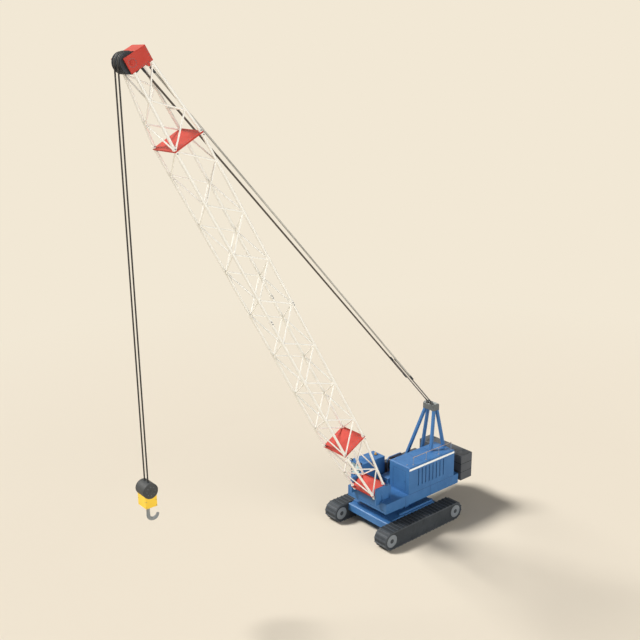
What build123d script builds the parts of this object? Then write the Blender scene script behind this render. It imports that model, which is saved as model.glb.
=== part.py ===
# Crawler crane with a lattice boom, 80 tonne class, parked with the boom raised.
# Millimetres. The origin is on the ground on the slewing axis, +Z is up, the boom points towards -Y
# and +X is the operator's left hand.

import os
from math import cos, pi, radians, sin

from build123d import *

os.makedirs("parts", exist_ok=True)

# ---- tracks ----
wheel_spacing = 5000
track_gauge = 4090
shoe_width = 860
track_height = 1075
shoe_count = 48
cleat_height = 38
cleat_width = 76
cleat_slope = 78
shoe_thickness = 67
end_wheel_gap = 3
frame_inset = 20
frame_end = 160
frame_clear = 12
tongue_half = 200
tongue_radius = 290
wheel_inner = 215
hub_ring_radius = 362
hub_ring_raise = 12
hub_radius = 120

# ---- carbody ----
beam_front = 2000
beam_depth = 560
beam_low = 585
beam_high = 1010
beam_chamfer = 50
rear_beam_high = 930
beam_gap = 2
core_half = 1150
ledge_thickness = 85
ledge_half_width = 1590
ledge_half_length = 1640
turret_radius = 1060
slew_ring_radius = 1180
slew_ring_height = 120
slew_gap = 6
lashing_x = 900
lashing_thickness = 40
lashing_radius = 35
lashing_high = 800
lashing_half_width = 100
lashing_reach = 60
lashing_hole = 80

# ---- deck and boom foot brackets ----
deck_half_width = 1568
deck_front = -2093
deck_rear = 3696
deck_low = 1595
deck_depth = 589
bracket_inner = 930
bracket_outer = 1060
bracket_front = -2360
bracket_rear = -1270
bracket_drop = 150
bracket_rise = 786
bracket_corner = 60
foot_pin_radius = 60
fixed_fit = 0.2
running_fit = 0.5

# ---- engine house ----
house_inner = 50
house_front = -384
house_rear = 3272
house_height = 1610
house_wall = 50
louvre_count = 8
louvre_pitch = 286
louvre_first = 340
louvre_width = 130
louvre_depth = 38
louvre_rise = 336
louvre_head = 294
rail_inset = 190
rail_height = 430
rail_radius = 18
rail_posts = (120, 1140, 2160, 3180)
engine_x = (400, 1250)
engine_y = (700, 2500)
engine_height = 1066

# ---- cab ----
cab_inner = -890
cab_outer = -1850
cab_front = -1600
cab_rear = 120
cab_height = 1276
cab_roof = 60
cab_visor = 90
cab_wall = 45
notch_x = -1075
notch_y = -1255
notch_clear = 20
front_sill = 516
front_head = 60
front_post = 70
rear_sill = 666
rear_post = 110
side_sill = 646
window_head = 100
glass_thickness = 8
glass_inset = 15
door_front = -1460
door_rear = -640
door_rise = 106
door_head = 90
door_gap = 8
door_frame = 90
hinge_rises = (296, 906)
hinge_out = 27
hinge_back = 12
hinge_radius = 10
hinge_leaf = 12
leaf_reach = 80
knuckle_radius = 20
knuckle_height = 90
knuckle_gap = 6
tab = 24
seat_y = -650
console_x = 288
console_y = (-1120, -500)
console_high = 560
beacon_y = -150
beacon_radius = 75
lamp_size = (140, 80, 85)
lamp_inset = 100

# ---- winches, tank and batteries ----
winch_plate = 40
winch_inner = -60
winch_outer = -1020
winch_front = 420
winch_rear = 1620
winch_height = 1096
drum_shaft = 55
flange = 36
flange_gap = 8
drums = (
    # name, Y, height of the shaft above the deck, flange radius, barrel radius
    ("hoist_drum", 850, 616, 380, 250),
    ("luffing_drum", 1420, 376, 165, 110),
)
tank_inner = -1240
tank_y = (200, 3250)
tank_height = 676
battery_x = (-700, -20)
battery_y = (-420, 330)
battery_height = 416

# ---- counterweight ----
weight_half_width = 1681
weight_front = 3775
weight_rear = 4711
weight_rise = 119
slab_height = 515
slab_count = 3
hanger_x = (700, 1200)

# ---- gantry ----
leg_size = 172
leg_foot_x = 788
leg_top_x = 330
leg_rows = (
    # name, Y at the foot, Y at the header
    ("front", 2143, 2790),
    ("rear", 3180, 3030),
)
header_half_width = 420
header_front = 2682
header_rear = 3134
header_rise = 3766
header_height = 380
header_chamfer = 70
header_pin_y = 2760
header_pin_rise = 82
header_pin_radius = 25
header_lug = 18
fall_x = 150
fall_radius = 34
fall_eye = 60
fall_length = 4450
lug_gap = 7
lug_rim = 6
pin_end = 3

# ---- boom, along its own axis from the foot pin ----
boom_angle = 60.81
foot_pin_y = -1940
foot_pin_rise = 483
plate_thickness = 70
foot_plate = 110
foot_stub = 150
foot_inset = 20
lower_plate = 3665
boom_length = 26180
head_length = 660
top_length = 3360
top_unlaced = 120
chord_radius = 65
lacing_radius = 36
lacing_aim = 35
overrun = 30
boom_half_width = 881
boom_half_depth = 787
foot_half_depth = 530
head_half_width = 505
head_half_depth = 503
butt_bays = 3
main_bays = 14
top_bays = 3
foot_lug = 80
foot_lug_root = 260
foot_lug_tip = 110
cheek = 28
head_drop = 590
sheave_back = 313
sheave_up = -333
sheave_radius = 436
sheave_clear = 14
groove_floor = 390
groove_radius = 36
groove_flare = 18
groove_pitch = 146
groove_count = 5
sheave_pin = 70
collar_radius = 120
side_gap = 6
pendant_back = 730
pendant_up = 285
pendant_head_x = 376
pendant_low_x = 245
pendant_radius = 44
pendant_gap = 2465
pendant_eye = 60
pendant_lug = 16
socket_radius = 50
socket_length = 380

# ---- hoist rope and hook block ----
rope_groove = 1
rope_radius = 34
rope_clear = 0.5
block_high = 7056
block_radius = 357
block_half_width = 362
block_body_width = 346
block_body_depth = 277
block_body_low = 6267
block_body_high = 6900
hook_radius = 70
hook_bend = 225
hook_centre_z = 5765
hook_sweep = 170
shank_radius = 50
shank_length = 150

# ---- derived ----
axle_high = track_height / 2
shoe_radius = axle_high - cleat_height
loop_radius = shoe_radius - shoe_thickness
end_wheel_radius = loop_radius - end_wheel_gap
half_shoe = shoe_width / 2
half_frame = half_shoe - frame_inset
rope_x = rope_groove * groove_pitch
deck_high = deck_low + deck_depth
bracket_high = deck_high + bracket_rise
house_high = deck_high + house_height
cab_high = deck_high + cab_height
foot_pin_z = deck_high + foot_pin_rise
header_low = deck_high + header_rise
header_high = header_low + header_height
head_low = boom_length - head_length
upper_plate = head_low - top_length
sheave_along = boom_length - sheave_back
pendant_along = boom_length - pendant_back
left, right = 1, -1


def block(x, y, z, mode=Mode.ADD):
    """A box from its low and high X, Y and Z."""
    with Locations(((x[0] + x[1]) / 2, (y[0] + y[1]) / 2, (z[0] + z[1]) / 2)):
        Box(abs(x[1] - x[0]), abs(y[1] - y[0]), abs(z[1] - z[0]), mode=mode)


def bar(start, end, radius, mode=Mode.ADD):
    """A round bar between two points."""
    start, end = Vector(start), Vector(end)
    with BuildSketch(Plane(origin=start, z_dir=end - start)) as section:
        Circle(radius)
    extrude(section.sketch, amount=(end - start).length, mode=mode)


def side_plane(x, y=0, z=0):
    """A plane seen from the left: its X runs along +Y, its Y runs up."""
    return Plane(origin=(x, y, z), x_dir=(0, 1, 0), z_dir=(1, 0, 0))


def save(builder, name):
    builder.part.label = name
    export_step(builder.part, f"parts/{name}.step")


# ---- tracks ----


def shoe_station(number):
    """Place on the shoes' outer face and the way it faces, for one shoe of the loop."""
    turn = pi * shoe_radius
    way = (number + 0.5) / shoe_count * 2 * (wheel_spacing + turn)
    half = wheel_spacing / 2
    if way < wheel_spacing:
        return (way - half, shoe_radius), 90
    way -= wheel_spacing
    if way < turn:
        facing = 90 - 180 * way / turn
        return (half + shoe_radius * cos(radians(facing)), shoe_radius * sin(radians(facing))), facing
    way -= turn
    if way < wheel_spacing:
        return (half - way, -shoe_radius), -90
    way -= wheel_spacing
    facing = -90 - 180 * way / turn
    return (shoe_radius * cos(radians(facing)) - half, shoe_radius * sin(radians(facing))), facing


for side, name in ((left, "left"), (right, "right")):
    middle = side * track_gauge / 2
    ends = ((-wheel_spacing / 2, 0), (wheel_spacing / 2, 0))

    with BuildPart() as track:
        with BuildSketch(side_plane(middle, z=axle_high)):
            SlotCenterToCenter(wheel_spacing, 2 * shoe_radius)
            for number in range(shoe_count):
                place, facing = shoe_station(number)
                with Locations(Location((*place, 0), (0, 0, facing - 90))):
                    Trapezoid(cleat_width, 2 * cleat_height, cleat_slope)
            SlotCenterToCenter(wheel_spacing, 2 * loop_radius, mode=Mode.SUBTRACT)
        extrude(amount=half_shoe, both=True)
    save(track, f"{name}_track")

    with BuildPart() as track_frame:
        with BuildSketch(side_plane(middle, z=axle_high)):
            Rectangle(wheel_spacing - 2 * frame_end, 2 * loop_radius)
            with Locations(*ends):
                Circle(end_wheel_radius + frame_clear, mode=Mode.SUBTRACT)
        extrude(amount=half_frame, both=True)
        with BuildSketch(side_plane(middle, z=axle_high)):
            SlotCenterToCenter(wheel_spacing, 2 * tongue_radius)
        extrude(amount=tongue_half, both=True)
        with BuildSketch(side_plane(middle, z=axle_high)):
            with Locations(*ends):
                Circle(hub_radius + fixed_fit)
        extrude(amount=half_frame, both=True, mode=Mode.SUBTRACT)
        for end in (-1, 1):
            inner = side * (track_gauge / 2 - half_frame)
            outer = side * (track_gauge / 2 - half_shoe - beam_gap)
            front = end * beam_front
            block(
                sorted((inner, outer)),
                sorted((front, front - end * beam_depth)),
                (beam_low, axle_high + loop_radius - frame_clear),
            )
    save(track_frame, f"{name}_track_frame")

    with BuildPart() as end_wheels:
        for end in (-1, 1):
            y = end * wheel_spacing / 2
            bar((middle - half_shoe, y, axle_high), (middle + half_shoe, y, axle_high), hub_radius)
            for face in (-1, 1):
                bar(
                    (middle + face * wheel_inner, y, axle_high),
                    (middle + face * half_frame, y, axle_high),
                    end_wheel_radius,
                )
                bar(
                    (middle + face * half_frame, y, axle_high),
                    (middle + face * (half_frame + hub_ring_raise), y, axle_high),
                    hub_ring_radius,
                )
    save(end_wheels, f"{name}_end_wheels")

# ---- carbody ----

beam_reach = track_gauge / 2 - half_shoe - beam_gap
turret_low = beam_high + ledge_thickness
turret_high = deck_low - slew_ring_height
with BuildPart() as carbody:
    inner = beam_front - beam_depth
    for end, high in ((-1, beam_high), (1, rear_beam_high)):
        with BuildSketch(side_plane(0)):
            with BuildLine():
                Polyline(
                    (end * inner, beam_low),
                    (end * beam_front, beam_low),
                    (end * beam_front, high - beam_chamfer),
                    (end * (beam_front - beam_chamfer), high),
                    (end * inner, high),
                    close=True,
                )
            make_face()
        extrude(amount=beam_reach, both=True)
    block((-core_half, core_half), (-inner, inner), (beam_low + 60, beam_high))
    block(
        (-ledge_half_width, ledge_half_width),
        (-ledge_half_length, ledge_half_length),
        (beam_high, turret_low),
    )
    with BuildSketch(Plane.XY.offset(turret_low)):
        Circle(turret_radius)
    extrude(amount=turret_high - turret_low)
    with BuildSketch(Plane.XY.offset(lashing_high)):
        for side in (left, right):
            with Locations((side * lashing_x, beam_front + lashing_reach / 2)):
                Rectangle(2 * lashing_half_width, lashing_reach)
            with Locations((side * lashing_x, beam_front + lashing_reach)):
                Circle(lashing_half_width)
            with Locations((side * lashing_x, beam_front - lashing_reach)):
                Rectangle(2 * lashing_half_width, 2 * lashing_reach, mode=Mode.SUBTRACT)
            with Locations((side * lashing_x, beam_front + lashing_hole)):
                Circle(lashing_radius, mode=Mode.SUBTRACT)
    extrude(amount=lashing_thickness / 2, both=True)
save(carbody, "carbody")

with BuildPart() as slew_ring:
    with BuildSketch(Plane.XY.offset(turret_high)):
        Circle(slew_ring_radius)
    extrude(amount=slew_ring_height - slew_gap)
save(slew_ring, "slewing_ring")

# ---- deck ----

with BuildPart() as deck:
    block((-deck_half_width, deck_half_width), (deck_front, deck_rear), (deck_low, deck_high))
    chamfer(deck.edges().filter_by(Axis.Z), 30)
save(deck, "deck")

with BuildPart() as brackets:
    for side in (left, right):
        with BuildSketch(side_plane(side * (bracket_inner + bracket_outer) / 2)):
            with BuildLine():
                Polyline(
                    (bracket_front, deck_high - bracket_drop),
                    (bracket_front, bracket_high - bracket_corner),
                    (bracket_front + bracket_corner, bracket_high),
                    (bracket_rear - bracket_corner, bracket_high),
                    (bracket_rear, bracket_high - bracket_corner),
                    (bracket_rear, deck_high),
                    (deck_front, deck_high),
                    (deck_front, deck_high - bracket_drop),
                    close=True,
                )
            make_face()
            with Locations((foot_pin_y, foot_pin_z)):
                Circle(foot_pin_radius + fixed_fit, mode=Mode.SUBTRACT)
        extrude(amount=(bracket_outer - bracket_inner) / 2, both=True)
save(brackets, "boom_foot_brackets")

foot_lug_outer = boom_half_width
foot_lug_inner = boom_half_width - foot_lug
with BuildPart() as foot_pins:
    for side in (left, right):
        bar(
            (side * (foot_lug_inner - 20), foot_pin_y, foot_pin_z),
            (side * (bracket_outer + 6), foot_pin_y, foot_pin_z),
            foot_pin_radius,
        )
save(foot_pins, "boom_foot_pins")

with BuildPart() as cab_platform:
    block((cab_outer, -deck_half_width), (cab_front, cab_rear), (deck_high - 130, deck_high))
save(cab_platform, "cab_platform")

# ---- engine house ----

with BuildPart() as house:
    block((house_inner, deck_half_width), (house_front, house_rear), (deck_high, house_high))
    chamfer(house.edges().group_by(Axis.Z)[-1], 25)
    block(
        (house_inner + house_wall, deck_half_width - house_wall),
        (house_front + house_wall, house_rear - house_wall),
        (deck_high, house_high - house_wall),
        mode=Mode.SUBTRACT,
    )
    for slot in range(louvre_count):
        start = louvre_first + slot * louvre_pitch
        with BuildSketch(Plane.XY.offset(deck_high + louvre_rise)):
            with BuildLine():
                Polyline(
                    (deck_half_width, start - louvre_width / 2),
                    (deck_half_width, start + louvre_width / 2),
                    (deck_half_width - louvre_depth, start + louvre_width / 2),
                    close=True,
                )
            make_face()
        extrude(amount=house_height - louvre_rise - louvre_head, mode=Mode.SUBTRACT)
save(house, "engine_house")

with BuildPart() as engine:
    block(engine_x, engine_y, (deck_high, deck_high + engine_height))
    chamfer(engine.edges().filter_by(Axis.Y), 60)
save(engine, "engine")

rail_x = deck_half_width - rail_inset
rail_top = house_high + rail_height
with BuildPart() as handrail:
    bar((rail_x, rail_posts[0], rail_top), (rail_x, rail_posts[-1], rail_top), rail_radius)
    for post in rail_posts:
        bar((rail_x, post, house_high), (rail_x, post, rail_top), rail_radius)
save(handrail, "handrail")

# ---- cab ----

cab_x = (cab_inner + cab_outer) / 2
inside_x = (cab_outer + cab_wall, cab_inner - cab_wall)
inside_y = (cab_front + cab_wall, cab_rear - cab_wall)
inside_z = (deck_high + cab_wall, cab_high)
notch_high = bracket_high + notch_clear
door_low = deck_high + door_rise
door_high = cab_high - door_head
hinge_lows = [deck_high + rise for rise in hinge_rises]
side_window = (door_rear + rear_post, cab_rear - rear_post)
side_heights = (deck_high + side_sill, cab_high - window_head)
rear_window = (cab_outer + rear_post, cab_inner - rear_post)
rear_heights = (deck_high + rear_sill, cab_high - window_head)
pane_step = notch_high + front_post
front_windows = (
    # X, then Z: the lower part beside the notch and the upper part over it
    ((cab_outer + front_post, notch_x - front_post), (deck_high + front_sill, pane_step)),
    ((cab_outer + front_post, cab_inner - front_post), (pane_step, cab_high - front_head)),
)
with BuildPart() as cab:
    block((cab_outer, cab_inner), (cab_front, cab_rear), (deck_high, cab_high))
    block((cab_outer, cab_inner), (cab_front - cab_visor, cab_rear), (cab_high, cab_high + cab_roof))
    # the notch that makes room for the boom foot bracket, then the room behind, beside and above it
    block((notch_x, cab_inner), (cab_front, notch_y), (deck_high, notch_high), mode=Mode.SUBTRACT)
    block((inside_x[0], notch_x - cab_wall), inside_y, inside_z, mode=Mode.SUBTRACT)
    block(inside_x, (notch_y + cab_wall, inside_y[1]), inside_z, mode=Mode.SUBTRACT)
    block(inside_x, inside_y, (notch_high + cab_wall, cab_high), mode=Mode.SUBTRACT)
    for across, height in front_windows:
        block(across, (cab_front, cab_front + cab_wall), height, mode=Mode.SUBTRACT)
    block(rear_window, (cab_rear - cab_wall, cab_rear), rear_heights, mode=Mode.SUBTRACT)
    block((cab_outer, cab_outer + cab_wall), side_window, side_heights, mode=Mode.SUBTRACT)
    block(
        (cab_outer, cab_outer + cab_wall),
        (door_front, door_rear),
        (door_low, door_high),
        mode=Mode.SUBTRACT,
    )
save(cab, "cab")

with BuildPart() as cab_glass:
    pane = (cab_front + glass_inset, cab_front + glass_inset + glass_thickness)
    for across, height in front_windows:
        block(across, pane, height)
    pane = (cab_rear - glass_inset - glass_thickness, cab_rear - glass_inset)
    block(rear_window, pane, rear_heights)
    pane = (cab_outer + glass_inset, cab_outer + glass_inset + glass_thickness)
    block(pane, side_window, side_heights)
save(cab_glass, "cab_glass")

hinge_x = cab_outer - hinge_out
hinge_y = door_rear + hinge_back
with BuildPart() as door:
    block(
        (cab_outer, cab_outer + cab_wall),
        (door_front + door_gap, door_rear - door_gap),
        (door_low + door_gap, door_high - door_gap),
    )
    block(
        (cab_outer, cab_outer + cab_wall),
        (door_front + door_frame, door_rear - door_frame),
        (side_heights[0], door_high - door_frame),
        mode=Mode.SUBTRACT,
    )
    for low in hinge_lows:
        top = low + knuckle_height
        bar((hinge_x, hinge_y, low), (hinge_x, hinge_y, top), knuckle_radius)
        leaf = (hinge_x - hinge_leaf / 2, hinge_x + hinge_leaf / 2)
        block(leaf, (hinge_y - leaf_reach, hinge_y), (low, top))
        block((leaf[0], cab_outer), (hinge_y - leaf_reach, hinge_y - tab), (low, top))
        bar(
            (hinge_x, hinge_y, low),
            (hinge_x, hinge_y, top),
            hinge_radius + running_fit,
            mode=Mode.SUBTRACT,
        )
save(door, "cab_door")

with BuildPart() as door_glass:
    block(
        (cab_outer + glass_inset, cab_outer + glass_inset + glass_thickness),
        (door_front + door_frame, door_rear - door_frame),
        (side_heights[0], door_high - door_frame),
    )
save(door_glass, "door_glass")

with BuildPart() as door_hinges:
    for low in hinge_lows:
        top = low + knuckle_height
        for start in (low - knuckle_gap - tab, top + knuckle_gap):
            block(
                (hinge_x - hinge_leaf, cab_outer),
                (hinge_y - hinge_leaf, hinge_y + 5 * hinge_leaf),
                (start, start + tab),
            )
        bar(
            (hinge_x, hinge_y, low - knuckle_gap - tab),
            (hinge_x, hinge_y, top + knuckle_gap + tab),
            hinge_radius,
        )
save(door_hinges, "door_hinges")

floor = deck_high + cab_wall
with BuildPart() as seat:
    # pedestal, cushion and backrest
    block((cab_x - 110, cab_x + 110), (seat_y - 110, seat_y + 110), (floor, floor + 300))
    block((cab_x - 230, cab_x + 230), (seat_y - 270, seat_y + 220), (floor + 300, floor + 430))
    block((cab_x - 230, cab_x + 230), (seat_y + 150, seat_y + 270), (floor + 430, floor + 1000))
save(seat, "operator_seat")

with BuildPart() as consoles:
    for side in (left, right):
        x = cab_x + side * console_x
        top = floor + console_high
        lever = console_y[0] + 70
        block((x - 42, x + 42), console_y, (floor, top))
        bar((x, lever, top), (x, lever - 30, top + 160), 14)
save(consoles, "control_consoles")

roof_high = cab_high + cab_roof
with BuildPart() as beacon:
    bar((cab_x, beacon_y, roof_high), (cab_x, beacon_y, roof_high + 30), beacon_radius)
    bar((cab_x, beacon_y, roof_high + 30), (cab_x, beacon_y, roof_high + 145), beacon_radius - 15)
    fillet(beacon.edges().group_by(Axis.Z)[-1], 40)
save(beacon, "beacon")

with BuildPart() as lights:
    for x in (cab_outer + lamp_inset, cab_inner - lamp_inset):
        width, depth, height = lamp_size
        low = cab_front - cab_visor
        block((x - width / 2, x + width / 2), (low, low + depth), (roof_high, roof_high + height))
save(lights, "work_lights")

# ---- winches, tank and batteries ----

winch_high = deck_high + winch_height
with BuildPart() as winch_frame:
    block((winch_inner - winch_plate, winch_inner), (winch_front, winch_rear), (deck_high, winch_high))
    block((winch_outer, winch_outer + winch_plate), (winch_front, winch_rear), (deck_high, winch_high))
    chamfer(winch_frame.edges().filter_by(Axis.X).group_by(Axis.Z)[-1], 140)
    block((winch_outer, winch_inner), (winch_front, winch_rear), (deck_high, deck_high + 60))
    for name, y, rise, flange_radius, barrel in drums:
        z = deck_high + rise
        bar((winch_outer, y, z), (winch_inner, y, z), drum_shaft + running_fit, mode=Mode.SUBTRACT)
save(winch_frame, "winch_frame")

drum_low = winch_outer + winch_plate + flange_gap
drum_high = winch_inner - winch_plate - flange_gap
for name, y, rise, flange_radius, barrel in drums:
    z = deck_high + rise
    with BuildPart() as drum:
        bar((winch_outer - 14, y, z), (winch_inner + 14, y, z), drum_shaft)
        bar((drum_low, y, z), (drum_high, y, z), barrel)
        bar((drum_low, y, z), (drum_low + flange, y, z), flange_radius)
        bar((drum_high - flange, y, z), (drum_high, y, z), flange_radius)
    save(drum, name)

with BuildPart() as tank:
    block((-deck_half_width, tank_inner), tank_y, (deck_high, deck_high + tank_height))
    fillet(tank.edges().filter_by(Axis.Y), 40)
save(tank, "service_tank")

with BuildPart() as battery_box:
    block(battery_x, battery_y, (deck_high, deck_high + battery_height))
    chamfer(battery_box.edges().group_by(Axis.Z)[-1], 20)
save(battery_box, "battery_box")

# ---- counterweight ----

for slab in range(slab_count):
    low = deck_low + weight_rise + slab * slab_height
    with BuildPart() as weight:
        block(
            (-weight_half_width, weight_half_width),
            (weight_front, weight_rear),
            (low, low + slab_height),
        )
        chamfer(weight.edges(), 18)
    save(weight, f"counterweight_{slab + 1}")

with BuildPart() as hangers:
    for side in (left, right):
        block(
            sorted((side * hanger_x[0], side * hanger_x[1])),
            (deck_rear, weight_front),
            (deck_low + 150, deck_high - 40),
        )
save(hangers, "counterweight_hangers")

# ---- gantry ----


def leg(side, foot_y, top_y, low):
    """One square leg, cut level at the header and at its foot."""
    foot = Vector(side * leg_foot_x, foot_y, house_high)
    top = Vector(side * leg_top_x, top_y, header_low)
    slope = (top - foot) * (1 / (header_low - house_high))
    start = foot + slope * (low - 200 - house_high)
    end = top + slope * 200
    with BuildPart() as piece:
        with BuildSketch(Plane(origin=start, x_dir=(1, 0, 0), z_dir=end - start)):
            Rectangle(leg_size, leg_size)
            chamfer(vertices(), 22)
        extrude(amount=(end - start).length)
        split(bisect_by=Plane.XY.offset(header_low), keep=Keep.BOTTOM)
        split(bisect_by=Plane.XY.offset(low), keep=Keep.TOP)
    return piece.part


for name, foot_y, top_y in leg_rows:
    near = leg(left, foot_y, top_y, house_high)
    far = leg(right, foot_y, top_y, deck_high)
    with BuildPart() as legs:
        add(near)
        add(far)
    save(legs, f"gantry_{name}_legs")

header_pin_z = header_high + header_pin_rise
with BuildPart() as header:
    block((-header_half_width, header_half_width), (header_front, header_rear), (header_low, header_high))
    chamfer(header.edges().group_by(Axis.Z)[-1].filter_by(Axis.X), header_chamfer)
    lug_radius = fall_eye + lug_rim
    lug_foot = header_high - header_chamfer
    reach = fall_radius + lug_gap + header_lug + pin_end
    for side in (left, right):
        for offset in (-1, 1):
            x = side * fall_x + offset * (fall_radius + lug_gap + header_lug / 2)
            with BuildSketch(side_plane(x)):
                with Locations((header_pin_y, header_pin_z)):
                    Circle(lug_radius)
                with Locations((header_pin_y, (lug_foot + header_pin_z) / 2)):
                    Rectangle(2 * lug_radius, header_pin_z - lug_foot)
            extrude(amount=header_lug / 2, both=True)
        bar(
            (side * fall_x - reach, header_pin_y, header_pin_z),
            (side * fall_x + reach, header_pin_y, header_pin_z),
            header_pin_radius,
        )
save(header, "gantry_header")

# ---- boom ----

foot = Vector(0, foot_pin_y, foot_pin_z)
boom_way = Vector(0, -cos(radians(boom_angle)), sin(radians(boom_angle)))
boom_up = Vector(0, sin(radians(boom_angle)), cos(radians(boom_angle)))
wide = 1500


def on_boom(across, along, up):
    """A point given across the boom, along its axis from the foot pin, and up from the axis."""
    return foot + Vector(across, 0, 0) + boom_way * along + boom_up * up


def boom_block(across, along, up, mode=Mode.ADD):
    """A box lined up with the boom."""
    with BuildSketch(Plane(origin=on_boom(0, along[0], 0), x_dir=(1, 0, 0), z_dir=boom_way)) as section:
        with Locations(((across[0] + across[1]) / 2, (up[0] + up[1]) / 2)):
            Rectangle(abs(across[1] - across[0]), abs(up[1] - up[0]))
    extrude(section.sketch, amount=along[1] - along[0], mode=mode)


def boom_side(x):
    """A plane across the boom: its X runs along the boom and its Y runs up from it."""
    return Plane(origin=foot + Vector(x, 0, 0), x_dir=boom_way, z_dir=boom_way.cross(boom_up))


half_plate = plate_thickness / 2
chord_x = boom_half_width - chord_radius
chord_up = boom_half_depth - chord_radius
foot_x = chord_x - foot_inset
foot_up = foot_half_depth - chord_radius - foot_inset
head_x = head_half_width - chord_radius
head_up = head_half_depth - chord_radius
butt_low = foot_plate + half_plate
butt_high = lower_plate - half_plate
main_low = lower_plate + half_plate
main_high = upper_plate - half_plate
main_half = (main_low + main_high) / 2
top_low = upper_plate + half_plate
first_half = main_bays // 2
sections = (
    # name, start, end, end of the lacing, first node, bays, chord X and up at the start and at the end
    ("butt", butt_low, butt_high, butt_high, 0, butt_bays, (foot_x, foot_up), (chord_x, chord_up)),
    ("lower_insert", main_low, main_half, main_half, 0, first_half, (chord_x, chord_up), (chord_x, chord_up)),
    (
        "upper_insert",
        main_half,
        main_high,
        main_high,
        first_half,
        main_bays - first_half,
        (chord_x, chord_up),
        (chord_x, chord_up),
    ),
    ("top", top_low, head_low, head_low - top_unlaced, 0, top_bays, (chord_x, chord_up), (head_x, head_up)),
)
even_corners = ((left, -1), (right, 1))
odd_corners = ((left, 1), (right, -1))
chord_sets = {}

for name, low, high, laced, first, bays, start_size, end_size in sections:

    def corner(which, along):
        share = (along - low) / (high - low)
        x = start_size[0] + (end_size[0] - start_size[0]) * share
        up = start_size[1] + (end_size[1] - start_size[1]) * share
        return on_boom(which[0] * x, along, which[1] * up)

    # the butt chords run on through the foot plate as short stubs
    begin = -foot_stub if name == "butt" else low
    with BuildPart() as chords:
        for which in even_corners + odd_corners:
            bar(corner(which, begin - overrun), corner(which, high + overrun), chord_radius)
        boom_block((-wide, wide), (begin, high), (-wide, wide), mode=Mode.INTERSECT)
    save(chords, f"boom_{name}_chords")
    chord_sets[name] = chords.part

    pitch = (laced - low) / bays
    with BuildPart() as lacing:
        for even in even_corners:
            for odd in odd_corners:
                # the pendants leave the top section through the upper face, so only its first bay is laced
                open_face = name == "top" and even[1] == odd[1] == 1
                for bay in range(1 if open_face else bays):
                    here, there = (even, odd) if (first + bay) % 2 == 0 else (odd, even)
                    along = low + bay * pitch
                    start = corner(here, along)
                    end = corner(there, along + pitch)
                    start += (corner(there, along) - start).normalized() * lacing_aim
                    end += (corner(here, along + pitch) - end).normalized() * lacing_aim
                    way = (end - start).normalized()
                    bar(start - way * overrun, end + way * overrun, lacing_radius)
        if name == "top":
            bar(corner((right, 1), low + pitch), corner((left, 1), low + pitch), lacing_radius)
        add(chords.part, mode=Mode.SUBTRACT)
        boom_block((-wide, wide), (low, high), (-wide, wide), mode=Mode.INTERSECT)
    save(lacing, f"boom_{name}_lacing")

with BuildPart() as plates:
    for along, depth in ((lower_plate, boom_half_depth), (upper_plate, boom_half_depth)):
        boom_block(
            (-boom_half_width, boom_half_width),
            (along - half_plate, along + half_plate),
            (-depth, depth),
        )
save(plates, "boom_splice_plates")

with BuildPart() as boom_foot:
    boom_block(
        (-boom_half_width, boom_half_width),
        (foot_plate - half_plate, foot_plate + half_plate),
        (-foot_half_depth, foot_half_depth),
    )
    for side in (left, right):
        with BuildSketch(boom_side(side * (foot_lug_inner + foot_lug_outer) / 2)):
            with BuildLine():
                Polyline(
                    (foot_plate, -foot_lug_root),
                    (foot_plate, foot_lug_root),
                    (-0.4 * foot_lug_tip, 1.1 * foot_lug_tip),
                    (-foot_lug_tip, 0.5 * foot_lug_tip),
                    (-foot_lug_tip, -0.5 * foot_lug_tip),
                    (-0.4 * foot_lug_tip, -1.1 * foot_lug_tip),
                    close=True,
                )
            make_face()
            Circle(foot_pin_radius + running_fit, mode=Mode.SUBTRACT)
        extrude(amount=foot_lug / 2, both=True)
    add(chord_sets["butt"], mode=Mode.SUBTRACT)
save(boom_foot, "boom_foot")

# ---- boom head ----

stack_half = groove_pitch * groove_count / 2
slot_half = head_half_width - cheek
lug_radius = pendant_eye + lug_rim
reach = pendant_radius + lug_gap + pendant_lug + pin_end
sheave_axle = (on_boom(-slot_half, sheave_along, sheave_up), on_boom(slot_half, sheave_along, sheave_up))
with BuildPart() as boom_head:
    boom_block(
        (-head_half_width, head_half_width),
        (head_low, boom_length),
        (-head_drop, head_half_depth),
    )
    bar(*sheave_axle, sheave_radius + sheave_clear, mode=Mode.SUBTRACT)
    boom_block((-slot_half, slot_half), (head_low, boom_length), (-wide, sheave_up), mode=Mode.SUBTRACT)
    for side in (left, right):
        for offset in (-1, 1):
            x = side * pendant_head_x + offset * (pendant_radius + lug_gap + pendant_lug / 2)
            with BuildSketch(boom_side(x)):
                with Locations((pendant_along, pendant_up)):
                    Circle(lug_radius)
                with Locations(((pendant_along + head_low) / 2, pendant_up)):
                    Rectangle(head_low - pendant_along, 2 * lug_radius)
            extrude(amount=pendant_lug / 2, both=True)
        bar(
            on_boom(side * pendant_head_x - reach, pendant_along, pendant_up),
            on_boom(side * pendant_head_x + reach, pendant_along, pendant_up),
            header_pin_radius,
        )
    bar(
        on_boom(-wide, sheave_along, sheave_up),
        on_boom(wide, sheave_along, sheave_up),
        sheave_pin + fixed_fit,
        mode=Mode.SUBTRACT,
    )
save(boom_head, "boom_head")

with BuildPart() as head_axle:
    bar(
        on_boom(-head_half_width - 15, sheave_along, sheave_up),
        on_boom(head_half_width + 15, sheave_along, sheave_up),
        sheave_pin,
    )
    for side in (left, right):
        bar(
            on_boom(side * (stack_half + side_gap), sheave_along, sheave_up),
            on_boom(side * slot_half, sheave_along, sheave_up),
            collar_radius,
        )
save(head_axle, "head_axle")

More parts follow.
